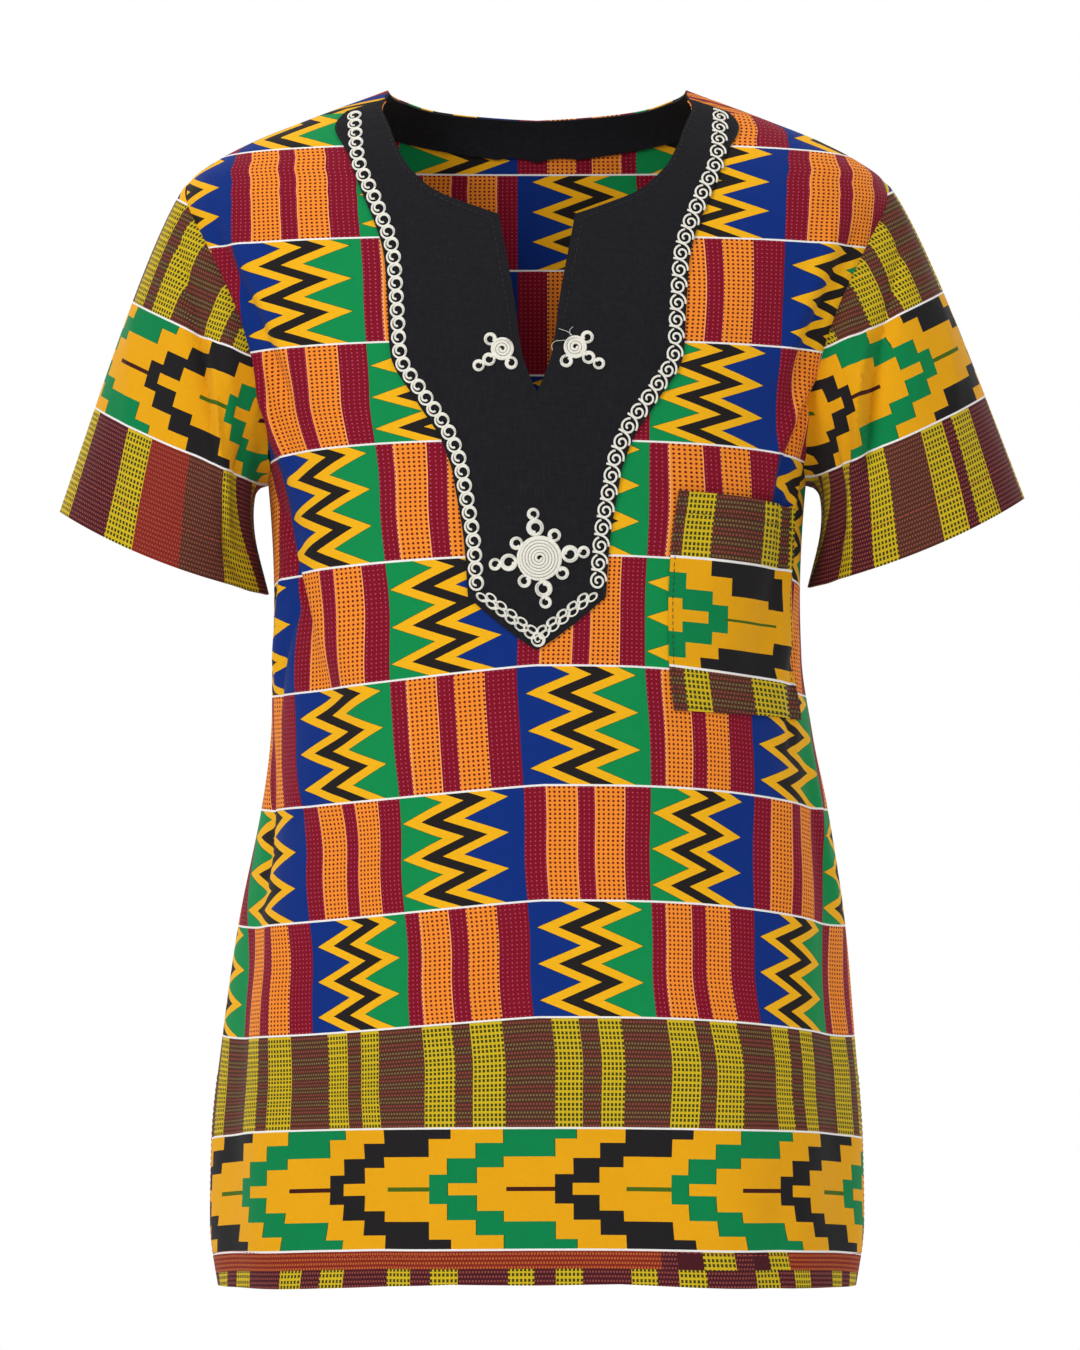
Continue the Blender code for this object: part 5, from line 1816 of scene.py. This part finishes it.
def merged(name: str, meshes: Sequence[bpy.types.Mesh]) -> bpy.types.Mesh:
    """One mesh out of several.

    Args:
        name: Its name.
        meshes: The meshes.

    Returns:
        The joined mesh, smooth shaded.
    """
    points, faces, start = [], [], 0
    for mesh in meshes:
        points.append(vertices_of(mesh))
        faces += [[start + v for v in polygon.vertices] for polygon in mesh.polygons]
        start += len(mesh.vertices)
    joined_mesh = bpy.data.meshes.new(name)
    joined_mesh.from_pydata(np.concatenate(points).tolist(), [], faces)
    joined_mesh.shade_smooth()
    return joined_mesh


def tube(name: str, line: Array, radius: float, sides: int = 5) -> bpy.types.Mesh:
    """A closed thin tube along a line.

    Args:
        name: Its name.
        line: Points that it follows.
        radius: Its radius.
        sides: Sides of its section.

    Returns:
        The mesh.
    """
    way = unit(np.gradient(line, axis=0))
    side = unit(np.cross(way, (0.31, -0.80, 0.51)))
    up = np.cross(side, way)
    turn = np.radians(np.arange(sides) * 360 / sides)[None, :, None]
    rings = line[:, None] + radius * (side[:, None] * np.cos(turn) + up[:, None] * np.sin(turn))
    faces = []
    for first in range(0, (len(line) - 1) * sides, sides):
        for j in range(sides):
            after = (j + 1) % sides
            faces.append((first + j, first + sides + j, first + sides + after, first + after))
    faces += [tuple(range(sides)), tuple((len(line) - 1) * sides + j for j in reversed(range(sides)))]
    mesh = bpy.data.meshes.new(name)
    mesh.from_pydata(rings.reshape(-1, 3).tolist(), [], faces)
    return mesh


# ---------------------------------------------------------------- cord trim on the yoke


@dataclass
class YokeTop:
    """The yoke's outer face as a place to lay trim on."""

    torso: Torso

    def point(self, x: Array, z: Array, lift: Any = 0.0) -> Array:
        """Point above the yoke at a front-view place."""
        angle = self.torso.angle_at(x, z)
        above = np.broadcast_to(LAYER_GAP + TRIM_CLOTH + np.asarray(lift, float), np.shape(x))
        return self.torso.surface(angle, z) + self.torso.normal(angle, z) * above[..., None]

    def out(self, x: Array, z: Array) -> Array:
        """Outward way there."""
        return self.torso.normal(self.torso.angle_at(x, z), z)

    def laid(self, mesh: bpy.types.Mesh, centre: tuple[float, float], flip: int) -> bpy.types.Mesh:
        """Lay a flat mesh on the yoke, its Z outward.

        Args:
            mesh: The flat mesh.
            centre: Where its origin goes in front view.
            flip: Below zero to mirror it.

        Returns:
            The same mesh.
        """
        flat = vertices_of(mesh).astype(float)
        points = self.point(centre[0] + flip * flat[:, 0], centre[1] + flat[:, 1], flat[:, 2])
        mesh.vertices.foreach_set("co", points.astype(np.float32).ravel())
        if flip < 0:
            mesh.flip_normals()
        mesh.update()
        return mesh


@dataclass
class ScrollBraid:
    """Scroll braid along both edges of the yoke: coils down the sides, chained loops at the foot."""

    top: YokeTop
    coils: GeometryTree
    inset: float = 0.0059
    nearer_at_top: float = 0.0012
    cord: float = 0.00068
    ring_pitch: float = 0.0086
    scroll_pitch: float = 0.0108
    chain_pitch: float = 0.0074

    # Stretch of a chain's loop and of a coil, and how far aside and along each of its two rows starts
    LOOP = (1.30, 0.80, 0.85)
    COIL = (1.06, 1.0, 0.95)
    CHAIN_ROWS = ((0.0017, 0.0), (-0.0017, 0.0036))

    def lines(self) -> tuple[Array, Array]:
        """Middle of the braid in front view: down the side, and along the slanted foot.

        Returns:
            Points of both stretches.
        """
        cut = Pattern
        lower = cut.YOKE_LOWER[1:] + cut.YOKE_HIP[1:] + cut.YOKE_FOOT[1:]
        edge = np.array(cut.YOKE_UPPER + cut.YOKE_MIDDLE[1:] + lower)
        run = run_along(np.diff(edge, axis=0))
        fine = np.linspace(0.002, run[-1] - 0.004, 160)
        curve = np.stack([smooth_through(run, edge[:, k], fine) for k in (0, 1)], axis=1)
        way = unit(np.gradient(curve, axis=0))
        depth = self.inset - self.nearer_at_top * (1 - soft_step(fine, 0.01, 0.08))
        inset = curve + np.stack([way[:, 1], -way[:, 0]], axis=1) * depth[:, None]
        tip = np.array([0.0006, cut.YOKE_TIP_Z + 1.45 * self.inset])
        return inset, np.linspace(inset[-1] + (-0.001, -0.001), tip, 40)

    def marks(
        self, line: Array, side: int, pitch: float, stretch: Size, aside: float = 0.0, along: float = 0.0
    ) -> Marks:
        """Places along a front-view line on one side.

        Args:
            line: Points of the line.
            side: 1 for the wearer's left, -1 for the right.
            pitch: Distance between places.
            stretch: Stretch of each copy.
            aside: How far to the outside of the line.
            along: Length left out at its start.

        Returns:
            The places.
        """
        way = unit(np.gradient(line, axis=0))
        moved = line - np.stack([way[:, 1], -way[:, 0]], axis=1) * aside
        kept = moved[run_along(np.diff(moved, axis=0)) >= along]
        x, z = side * kept[:, 0], kept[:, 1]
        return Marks.on_line(self.top.point(x, z, self.cord * CORD_SEAT), self.top.out(x, z), pitch, stretch)

    def build(self, finishes: Finishes) -> list[bpy.types.Object]:
        """Make and dress both braids.

        Args:
            finishes: The materials.

        Returns:
            The wearer's left and right braid.
        """
        down, foot = self.lines()
        made = []
        for name, node, side in (
            ("scroll_braid_left", "yoke_braid_left", 1),
            ("scroll_braid_right", "yoke_braid_right", -1),
        ):
            if side > 0:
                marks = self.marks(down, side, self.scroll_pitch, self.COIL, 0.0004)
                values = {"Turns": 1.45, "Inner Radius": 0.0010, "Outer Radius": 0.0050, "Closed": False}
            else:
                marks = self.marks(down, side, self.ring_pitch, self.COIL)
                values = {"Turns": 0.85, "Inner Radius": 0.0014, "Outer Radius": 0.0041, "Closed": True}
            values |= {"Cord Radius": self.cord, "Finish": finishes.cord}
            meshes = [self.coils.run(name + "_coils", marks, values)]
            rows = [self.marks(foot, side, self.chain_pitch, self.LOOP, *way) for way in self.CHAIN_ROWS]
            loops = {"Turns": 0.5, "Inner Radius": 0.0020, "Outer Radius": 0.0025, "Cord Radius": 0.00062}
            loops |= {"Closed": True, "Finish": finishes.cord}
            meshes.append(self.coils.run(name + "_chain", Marks.together(rows), loops))
            if side > 0:
                x, z = np.array([0.0008]), np.array([Pattern.YOKE_TIP_Z + 0.0062])
                spot, across = self.top.point(x, z, self.cord * CORD_SEAT), np.array([[1.0, 0, 0]])
                end = Marks(spot, across, self.top.out(x, z), np.array([[0.8, 0.8, 0.8]]))
                meshes.append(self.coils.run(name + "_end", end, values | {"Closed": True}))
            piece = linked(name, merged(name, meshes), finishes.cord)
            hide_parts(node)
            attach(piece, "root")
            made.append(piece)
        return made


@dataclass(frozen=True)
class Ring:
    """One small coil of a rosette, by its distance and angle from the middle."""

    distance: float
    angle: float
    radius: float


@dataclass
class Rosette:
    """A flat corded motif: a coiled disc with coiled rings round it."""

    top: YokeTop
    coils: GeometryTree
    name: str
    node: str
    centre: tuple[float, float]
    disc: float
    rings: tuple[Ring, ...]
    flip: int = 1
    strands: tuple[tuple[tuple[float, float, float], ...], ...] = ()
    cord: float = 0.00088

    # Radius of the eye in the disc, cord radii from one turn to the next, and a ring's radius at scale 1
    EYE = 0.0011
    TURN_PITCH = 2.15
    RING_RADIUS = 0.0045
    STRAND_RADIUS = 0.00016

    def flat(
        self, points: Sequence[tuple[float, float]], angles: Sequence[float], size: Sequence[float], lift: float
    ) -> Marks:
        """Places on the flat motif.

        Args:
            points: Places.
            angles: Turn of each, in degrees.
            size: Scale of each.
            lift: Height of the cord's middle.

        Returns:
            The places.
        """
        count = len(points)
        turns = np.radians(np.array(angles, float))
        way = np.stack([np.cos(turns), np.sin(turns), 0 * turns], axis=1)
        spots = np.concatenate([np.array(points, float), np.full((count, 1), lift)], axis=1)
        sizes = np.repeat(np.array(size, float)[:, None], 3, axis=1)
        return Marks(spots, way, np.tile([0.0, 0.0, 1.0], (count, 1)), sizes)

    def build(self, finishes: Finishes) -> bpy.types.Object:
        """Make and dress the rosette.

        Args:
            finishes: The materials.

        Returns:
            The rosette.
        """
        turns = (self.disc - self.cord - self.EYE) / (self.TURN_PITCH * self.cord)
        common = {"Cord Radius": self.cord, "Closed": True, "Finish": finishes.cord}
        disc = common | {"Turns": turns, "Inner Radius": self.EYE, "Outer Radius": self.disc - self.cord}
        middle = self.flat([(0, 0)], [20], [1.0], self.cord * CORD_SEAT)
        meshes = [self.coils.run(self.name + "_disc", middle, disc)]
        at = [np.radians(ring.angle) for ring in self.rings]
        spots = [
            (ring.distance * float(np.cos(a)), ring.distance * float(np.sin(a))) for ring, a in zip(self.rings, at)
        ]
        size = [ring.radius / self.RING_RADIUS for ring in self.rings]
        coil = common | {"Turns": 0.9, "Inner Radius": 0.0024, "Outer Radius": 0.0036}
        marks = self.flat(spots, [ring.angle + 180 for ring in self.rings], size, self.cord * 0.80)
        meshes.append(self.coils.run(self.name + "_rings", marks, coil))
        for number, strand in enumerate(self.strands):
            through = np.array(strand)
            fine = np.linspace(0, len(through) - 1, 24)
            places = np.arange(len(through))
            line = np.stack([smooth_through(places, through[:, k], fine) for k in range(3)], axis=1)
            meshes.append(tube(f"{self.name}_strand_{number}", line, self.STRAND_RADIUS, 4))
        mesh = self.top.laid(merged(self.name, meshes), self.centre, self.flip)
        piece = linked(self.name, mesh, finishes.cord)
        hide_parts(self.node)
        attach(piece, "root")
        return piece


CENTRE_RINGS = tuple(
    ring
    for quarter in range(4)
    for ring in (
        Ring(0.0190, 90.0 * quarter + 8.0, 0.0055),
        Ring(0.0274, 90.0 * quarter + 8.0, 0.0039),
        Ring(0.0168, 90.0 * quarter + 57.0, 0.0042),
    )
)
BUD_RINGS = (
    Ring(0.0096, 40.0, 0.0041),
    Ring(0.0103, 238.0, 0.0041),
    Ring(0.0105, 322.0, 0.0042),
    Ring(0.0178, 325.0, 0.0038),
)
# Loose strands of the small motif on the wearer's left
FRAYED = (
    ((-0.0010, 0.0060, 0.0012), (-0.0044, 0.0090, 0.0016), (-0.0102, 0.0114, 0.0008)),
    ((-0.0030, 0.0070, 0.0012), (-0.0034, 0.0098, 0.0018), (-0.0014, 0.0126, 0.0008)),
    ((-0.0060, 0.0040, 0.0012), (-0.0117, 0.0035, 0.0014), (-0.0146, 0.0006, 0.0010), (-0.0138, -0.0022, 0.0006)),
)


# ---------------------------------------------------------------- stitches


@dataclass
class Stitching:
    """Rows of stitches on hems, vents, cuffs, pocket and yoke."""

    body: Body
    sleeves: tuple[Sleeve, ...]
    pocket: ChestPocket
    tree: GeometryTree
    length: float = 0.0030
    gap: float = 0.0010
    width: float = 0.00055
    above_hem: float = 0.0205
    above_cuff: float = 0.025
    beside_vent: float = 2.9

    # Shares of the pocket's width and height at which its rows run: sides, then foot and mouth
    POCKET_ROWS = (0.022, 0.978, 0.986, 0.075)
    # Shares of a grid column by which the yoke's rows stand in from its outer edge and its neck
    YOKE_ROWS = (0.45, 0.75)

    def on_body(self, angle: Array, z: Array, lift: float) -> Marks:
        """Stitches along a line of places on the body."""
        torso = self.body.torso
        out = torso.normal(angle, z)
        return Marks.on_line(torso.surface(angle, z) + out * lift, out, self.length + self.gap)

    def hems(self) -> Marks:
        """Hem line of front and back, and both edges of each vent.

        Returns:
            The stitches.
        """
        torso, cut = self.body.torso, self.body.pattern
        runs = []
        for first, last in ((-83.0, 83.0), (97.0, 263.0)):
            angle = np.linspace(first, last, 160)
            turned = np.where(angle > 180, angle - 360, angle)
            runs.append(self.on_body(turned, torso.hem_z(turned) + self.above_hem, STITCH_LIFT))
        t = np.linspace(0.02, 0.86, 40)
        for side, way in ((1, 1), (1, -1), (-1, 1), (-1, -1)):
            angle = side * (90.0 - way * (cut.vent_spread * t**VENT_CURVE + self.beside_vent))
            runs.append(self.on_body(angle, cut.vent_z + (torso.HEM_Z - cut.vent_z) * t, STITCH_LIFT))
        return Marks.together(runs)

    def cuffs(self) -> Marks:
        """Hem line of each sleeve.

        Returns:
            The stitches.
        """
        runs = []
        for sleeve in self.sleeves:
            turn = np.linspace(0, 360, 181)[None, :]
            reach = np.linalg.norm(sleeve.plain(turn, 0 * turn) - sleeve.cuff.point(turn), axis=-1)
            t = 1 - self.above_cuff / reach
            out = normal_of(sleeve.surface, turn, t, *SLEEVE_STEPS)[0]
            mirror = np.array([sleeve.side, 1, 1])
            line = (sleeve.surface(turn, t)[0] + out * STITCH_LIFT) * mirror
            runs.append(Marks.on_line(line, out * mirror, self.length + self.gap))
        return Marks.together(runs)

    def pocket_edges(self) -> Marks:
        """Both sides, the foot and the turned top of the pocket.

        Returns:
            The stitches.
        """
        places = self.pocket.places()
        rows, columns = places.shape[:2]
        runs = []
        r, c = np.arange(rows) / (rows - 1), np.arange(columns) / (columns - 1)
        left, right, foot, mouth = self.POCKET_ROWS
        for down, across in ((r, 0 * r + left), (r, 0 * r + right), (0 * c + foot, c), (0 * c + mouth, c)):
            path = [read_grid(places[..., k], down * (rows - 1), across * (columns - 1)) for k in (0, 1)]
            out = self.body.torso.normal(*path)
            stand = self.pocket.stand(down, across)
            lift = LAYER_GAP + TRIM_CLOTH + stand + self.pocket.fold(down) + STITCH_LIFT
            line = self.body.torso.surface(*path) + out * lift[:, None]
            runs.append(Marks.on_line(line, out, self.length + self.gap))
        return Marks.together(runs)

    def yoke_edges(self) -> Marks:
        """The yoke's outer edge, its neck edge and its slit.

        Returns:
            The stitches.
        """
        grid, edge = self.body.front_grid, Pattern.YOKE_COLUMNS
        foot = sum(Pattern.FRONT_ROWS) + sum(Pattern.LOWER_ROWS[:2]) + 1
        slit = sum(Pattern.FRONT_ROWS[:2]) + 1
        outer = grid[:foot, edge] - (grid[:foot, edge] - grid[:foot, edge - 1]) * self.YOKE_ROWS[0]
        neck = grid[:slit, 0] + (grid[:slit, 1] - grid[:slit, 0]) * self.YOKE_ROWS[1]
        lift = LAYER_GAP + TRIM_CLOTH + STITCH_LIFT
        lines = (outer, neck[3:-6])
        return Marks.together([self.on_body(s * line[:, 0], line[:, 1], lift) for s in (1, -1) for line in lines])

    def build(self, finishes: Finishes) -> list[bpy.types.Object]:
        """Make and dress every row.

        Args:
            finishes: The materials.

        Returns:
            The pieces of stitching.
        """
        made = []
        for name, marks, finish, slot in (
            ("hem_stitches", self.hems(), finishes.warm_thread, "print_cotton"),
            ("cuff_stitches", self.cuffs(), finishes.warm_thread, "print_cotton"),
            ("pocket_stitches", self.pocket_edges(), finishes.dark_thread, "print_cotton"),
            ("yoke_stitches", self.yoke_edges(), finishes.dark_thread, "black_cotton"),
        ):
            mesh = self.tree.run(name, marks, {"Length": self.length, "Width": self.width, "Finish": finish})
            piece = linked(name, merged(name, [mesh]), finish)
            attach(piece, "root")
            made.append(piece)
        return made


# ---------------------------------------------------------------- studio


@dataclass
class Studio:
    """Camera, pale floor and soft lights."""

    eye: tuple[float, float, float] = (0.0019, -3.2, -0.3731)
    lens: float = 133.33
    floor_z: float = -1.25
    floor_radius: float = 2.0
    middle: tuple[float, float, float] = (0.0, 0.0, -0.35)

    def build(self) -> None:
        """Set up the camera, the floor and the lights."""
        camera = bpy.data.objects.new("camera", bpy.data.cameras.new("camera"))
        camera.data.lens = self.lens
        camera.data.sensor_width = 36.0
        camera.location = self.eye
        camera.rotation_euler = (np.pi / 2, 0.0, 0.0)
        bpy.context.scene.collection.objects.link(camera)
        bpy.context.scene.camera = camera
        turns = np.linspace(0, 2 * np.pi, 96, endpoint=False)
        reach = self.floor_radius
        rim = [(float(reach * np.cos(turn)), float(reach * np.sin(turn)), self.floor_z) for turn in turns]
        mesh = bpy.data.meshes.new("pale_floor")
        mesh.from_pydata(rim, [], [tuple(range(len(rim)))])
        linked("pale_floor", mesh, PaleFloor().build())
        for name, place, size, power in (
            ("key", (-1.9, -2.5, 1.5), 1.5, 66.0),
            ("fill", (2.4, -2.4, 0.4), 2.2, 17.0),
            ("front", (0.3, -4.2, 0.4), 1.8, 16.0),
            ("top", (0.0, 0.3, 2.4), 1.8, 24.0),
            ("back_left", (-2.3, 2.5, 0.9), 2.0, 44.0),
            ("back_right", (2.3, 2.5, 0.9), 2.0, 44.0),
        ):
            light = bpy.data.objects.new(name, bpy.data.lights.new(name, "AREA"))
            light.data.size = size
            light.data.energy = power
            light.location = place
            way = np.array(self.middle) - np.array(place)
            tilt, turn = np.arctan2(np.hypot(way[0], way[1]), -way[2]), np.arctan2(way[1], way[0]) - np.pi / 2
            light.rotation_euler = (float(tilt), 0.0, float(turn))
            bpy.context.scene.collection.objects.link(light)
        world = bpy.data.worlds.new("pale_room")
        world.use_nodes = True
        nodes, links = world.node_tree.nodes, world.node_tree.links
        glow, seen = nodes["Background"], nodes.new("ShaderNodeBackground")
        for background, strength in ((glow, 0.40), (seen, 1.0)):
            background.inputs["Color"].default_value = WHITE
            background.inputs["Strength"].default_value = strength
        path, mix = nodes.new("ShaderNodeLightPath"), nodes.new("ShaderNodeMixShader")
        links.new(path.outputs["Is Camera Ray"], mix.inputs[0])
        links.new(glow.outputs[0], mix.inputs[1])
        links.new(seen.outputs[0], mix.inputs[2])
        links.new(mix.outputs[0], nodes["World Output"].inputs["Surface"])
        bpy.context.scene.world = world
        bpy.context.scene.view_settings.view_transform = "Standard"


# ---------------------------------------------------------------- the whole top


LEFT_CUFF = Cuff((0.3120, -0.2600), (0.1730, -0.3170))
RIGHT_CUFF = Cuff((0.3055, -0.2685), (0.1715, -0.3215))
# Narrow creases: turns and shares of the way down of both ends, half width, depth and bend
SLEEVE_RIGHT_CREASES = (
    Crease(34, 108, 0.04, 0.52, 5.0, -0.0036, 6.0),
    Crease(58, 126, 0.06, 0.62, 4.5, 0.0030, 5.0),
    Crease(96, 140, 0.20, 0.92, 5.0, -0.0026, -5.0),
    Crease(20, 74, 0.30, 0.95, 6.0, 0.0012, 4.0),
    Crease(-40, -112, 0.05, 0.60, 5.0, -0.0030, -5.0),
    Crease(-66, -130, 0.10, 0.72, 5.0, 0.0026, -5.0),
)
SLEEVE_LEFT_CREASES = (
    Crease(30, 116, 0.05, 0.66, 5.0, -0.0044, 9.0),
    Crease(54, 134, 0.06, 0.70, 5.0, 0.0038, 8.0),
    Crease(92, 150, 0.10, 0.84, 4.5, -0.0034, -4.0),
    Crease(24, 66, 0.34, 0.98, 6.5, 0.0012, 4.0),
    Crease(-44, -116, 0.05, 0.62, 5.0, -0.0030, -6.0),
    Crease(-70, -134, 0.12, 0.74, 5.0, 0.0026, -5.0),
)


def outer_area(obj: bpy.types.Object) -> float:
    """Half of a thin shell's whole area."""
    return sum(polygon.area for polygon in obj.data.polygons) / 2


def main() -> None:
    """Load the frame, build every piece in order and report it."""
    logging.basicConfig(level=logging.INFO, format="%(message)s")
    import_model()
    finishes = Finishes.build()
    Studio().build()
    torso = Torso()
    pattern = Pattern(torso)
    body = Body(torso, pattern)
    front, back, yoke, facing = body.build(finishes)
    pocket_maker = ChestPocket(body)
    pocket = pocket_maker.build(finishes)
    sleeves = (
        Sleeve(torso, pattern, "sleeve_left_cloth", "sleeve_left", LEFT_CUFF, 1, SLEEVE_LEFT_CREASES),
        Sleeve(torso, pattern, "sleeve_right_cloth", "sleeve_right", RIGHT_CUFF, -1, SLEEVE_RIGHT_CREASES),
    )
    left = sleeves[0].build(finishes.sleeve_left)
    right = sleeves[1].build(finishes.sleeve_right)
    coils, top = coil_tree(), YokeTop(torso)
    braids = ScrollBraid(top, coils).build(finishes)
    rosettes = [
        Rosette(top, coils, *parts).build(finishes)
        for parts in (
            ("rosette_centre_cord", "rosette_centre", (0.0015, -0.3012), 0.0140, CENTRE_RINGS),
            ("rosette_left_cord", "rosette_left", (0.0236, -0.1708), 0.0072, BUD_RINGS, 1, FRAYED),
            ("rosette_right_cord", "rosette_right", (-0.0213, -0.1720), 0.0072, BUD_RINGS, -1),
        )
    ]
    hems, cuffs, pocket_rows, yoke_rows = Stitching(body, sleeves, pocket_maker, stitch_tree()).build(finishes)
    for piece, flat, rests, on_it in (
        (front, (0.535, 0.790), [yoke], [hems]),
        (back, (0.535, 0.860), [facing], []),
        (yoke, (0.270, 0.375), [front], [*braids, *rosettes, yoke_rows]),
        (facing, (0.250, 0.130), [back], []),
        (pocket, (0.112, 0.145), [front], [pocket_rows]),
        (left, (0.405, 0.240), [front], [cuffs]),
        (right, (0.390, 0.240), [front], []),
    ):
        area = outer_area(piece)
        LOG.info("%s: %d faces, area %.4f of %.4f m2", piece.name, len(piece.data.polygons), area, flat[0] * flat[1])
        min(area, flat[0] * flat[1])
    for piece in (*braids, *rosettes, hems, cuffs, pocket_rows, yoke_rows):
        LOG.info("%s: %d faces", piece.name, len(piece.data.polygons))


if __name__ == "__main__":
    main()
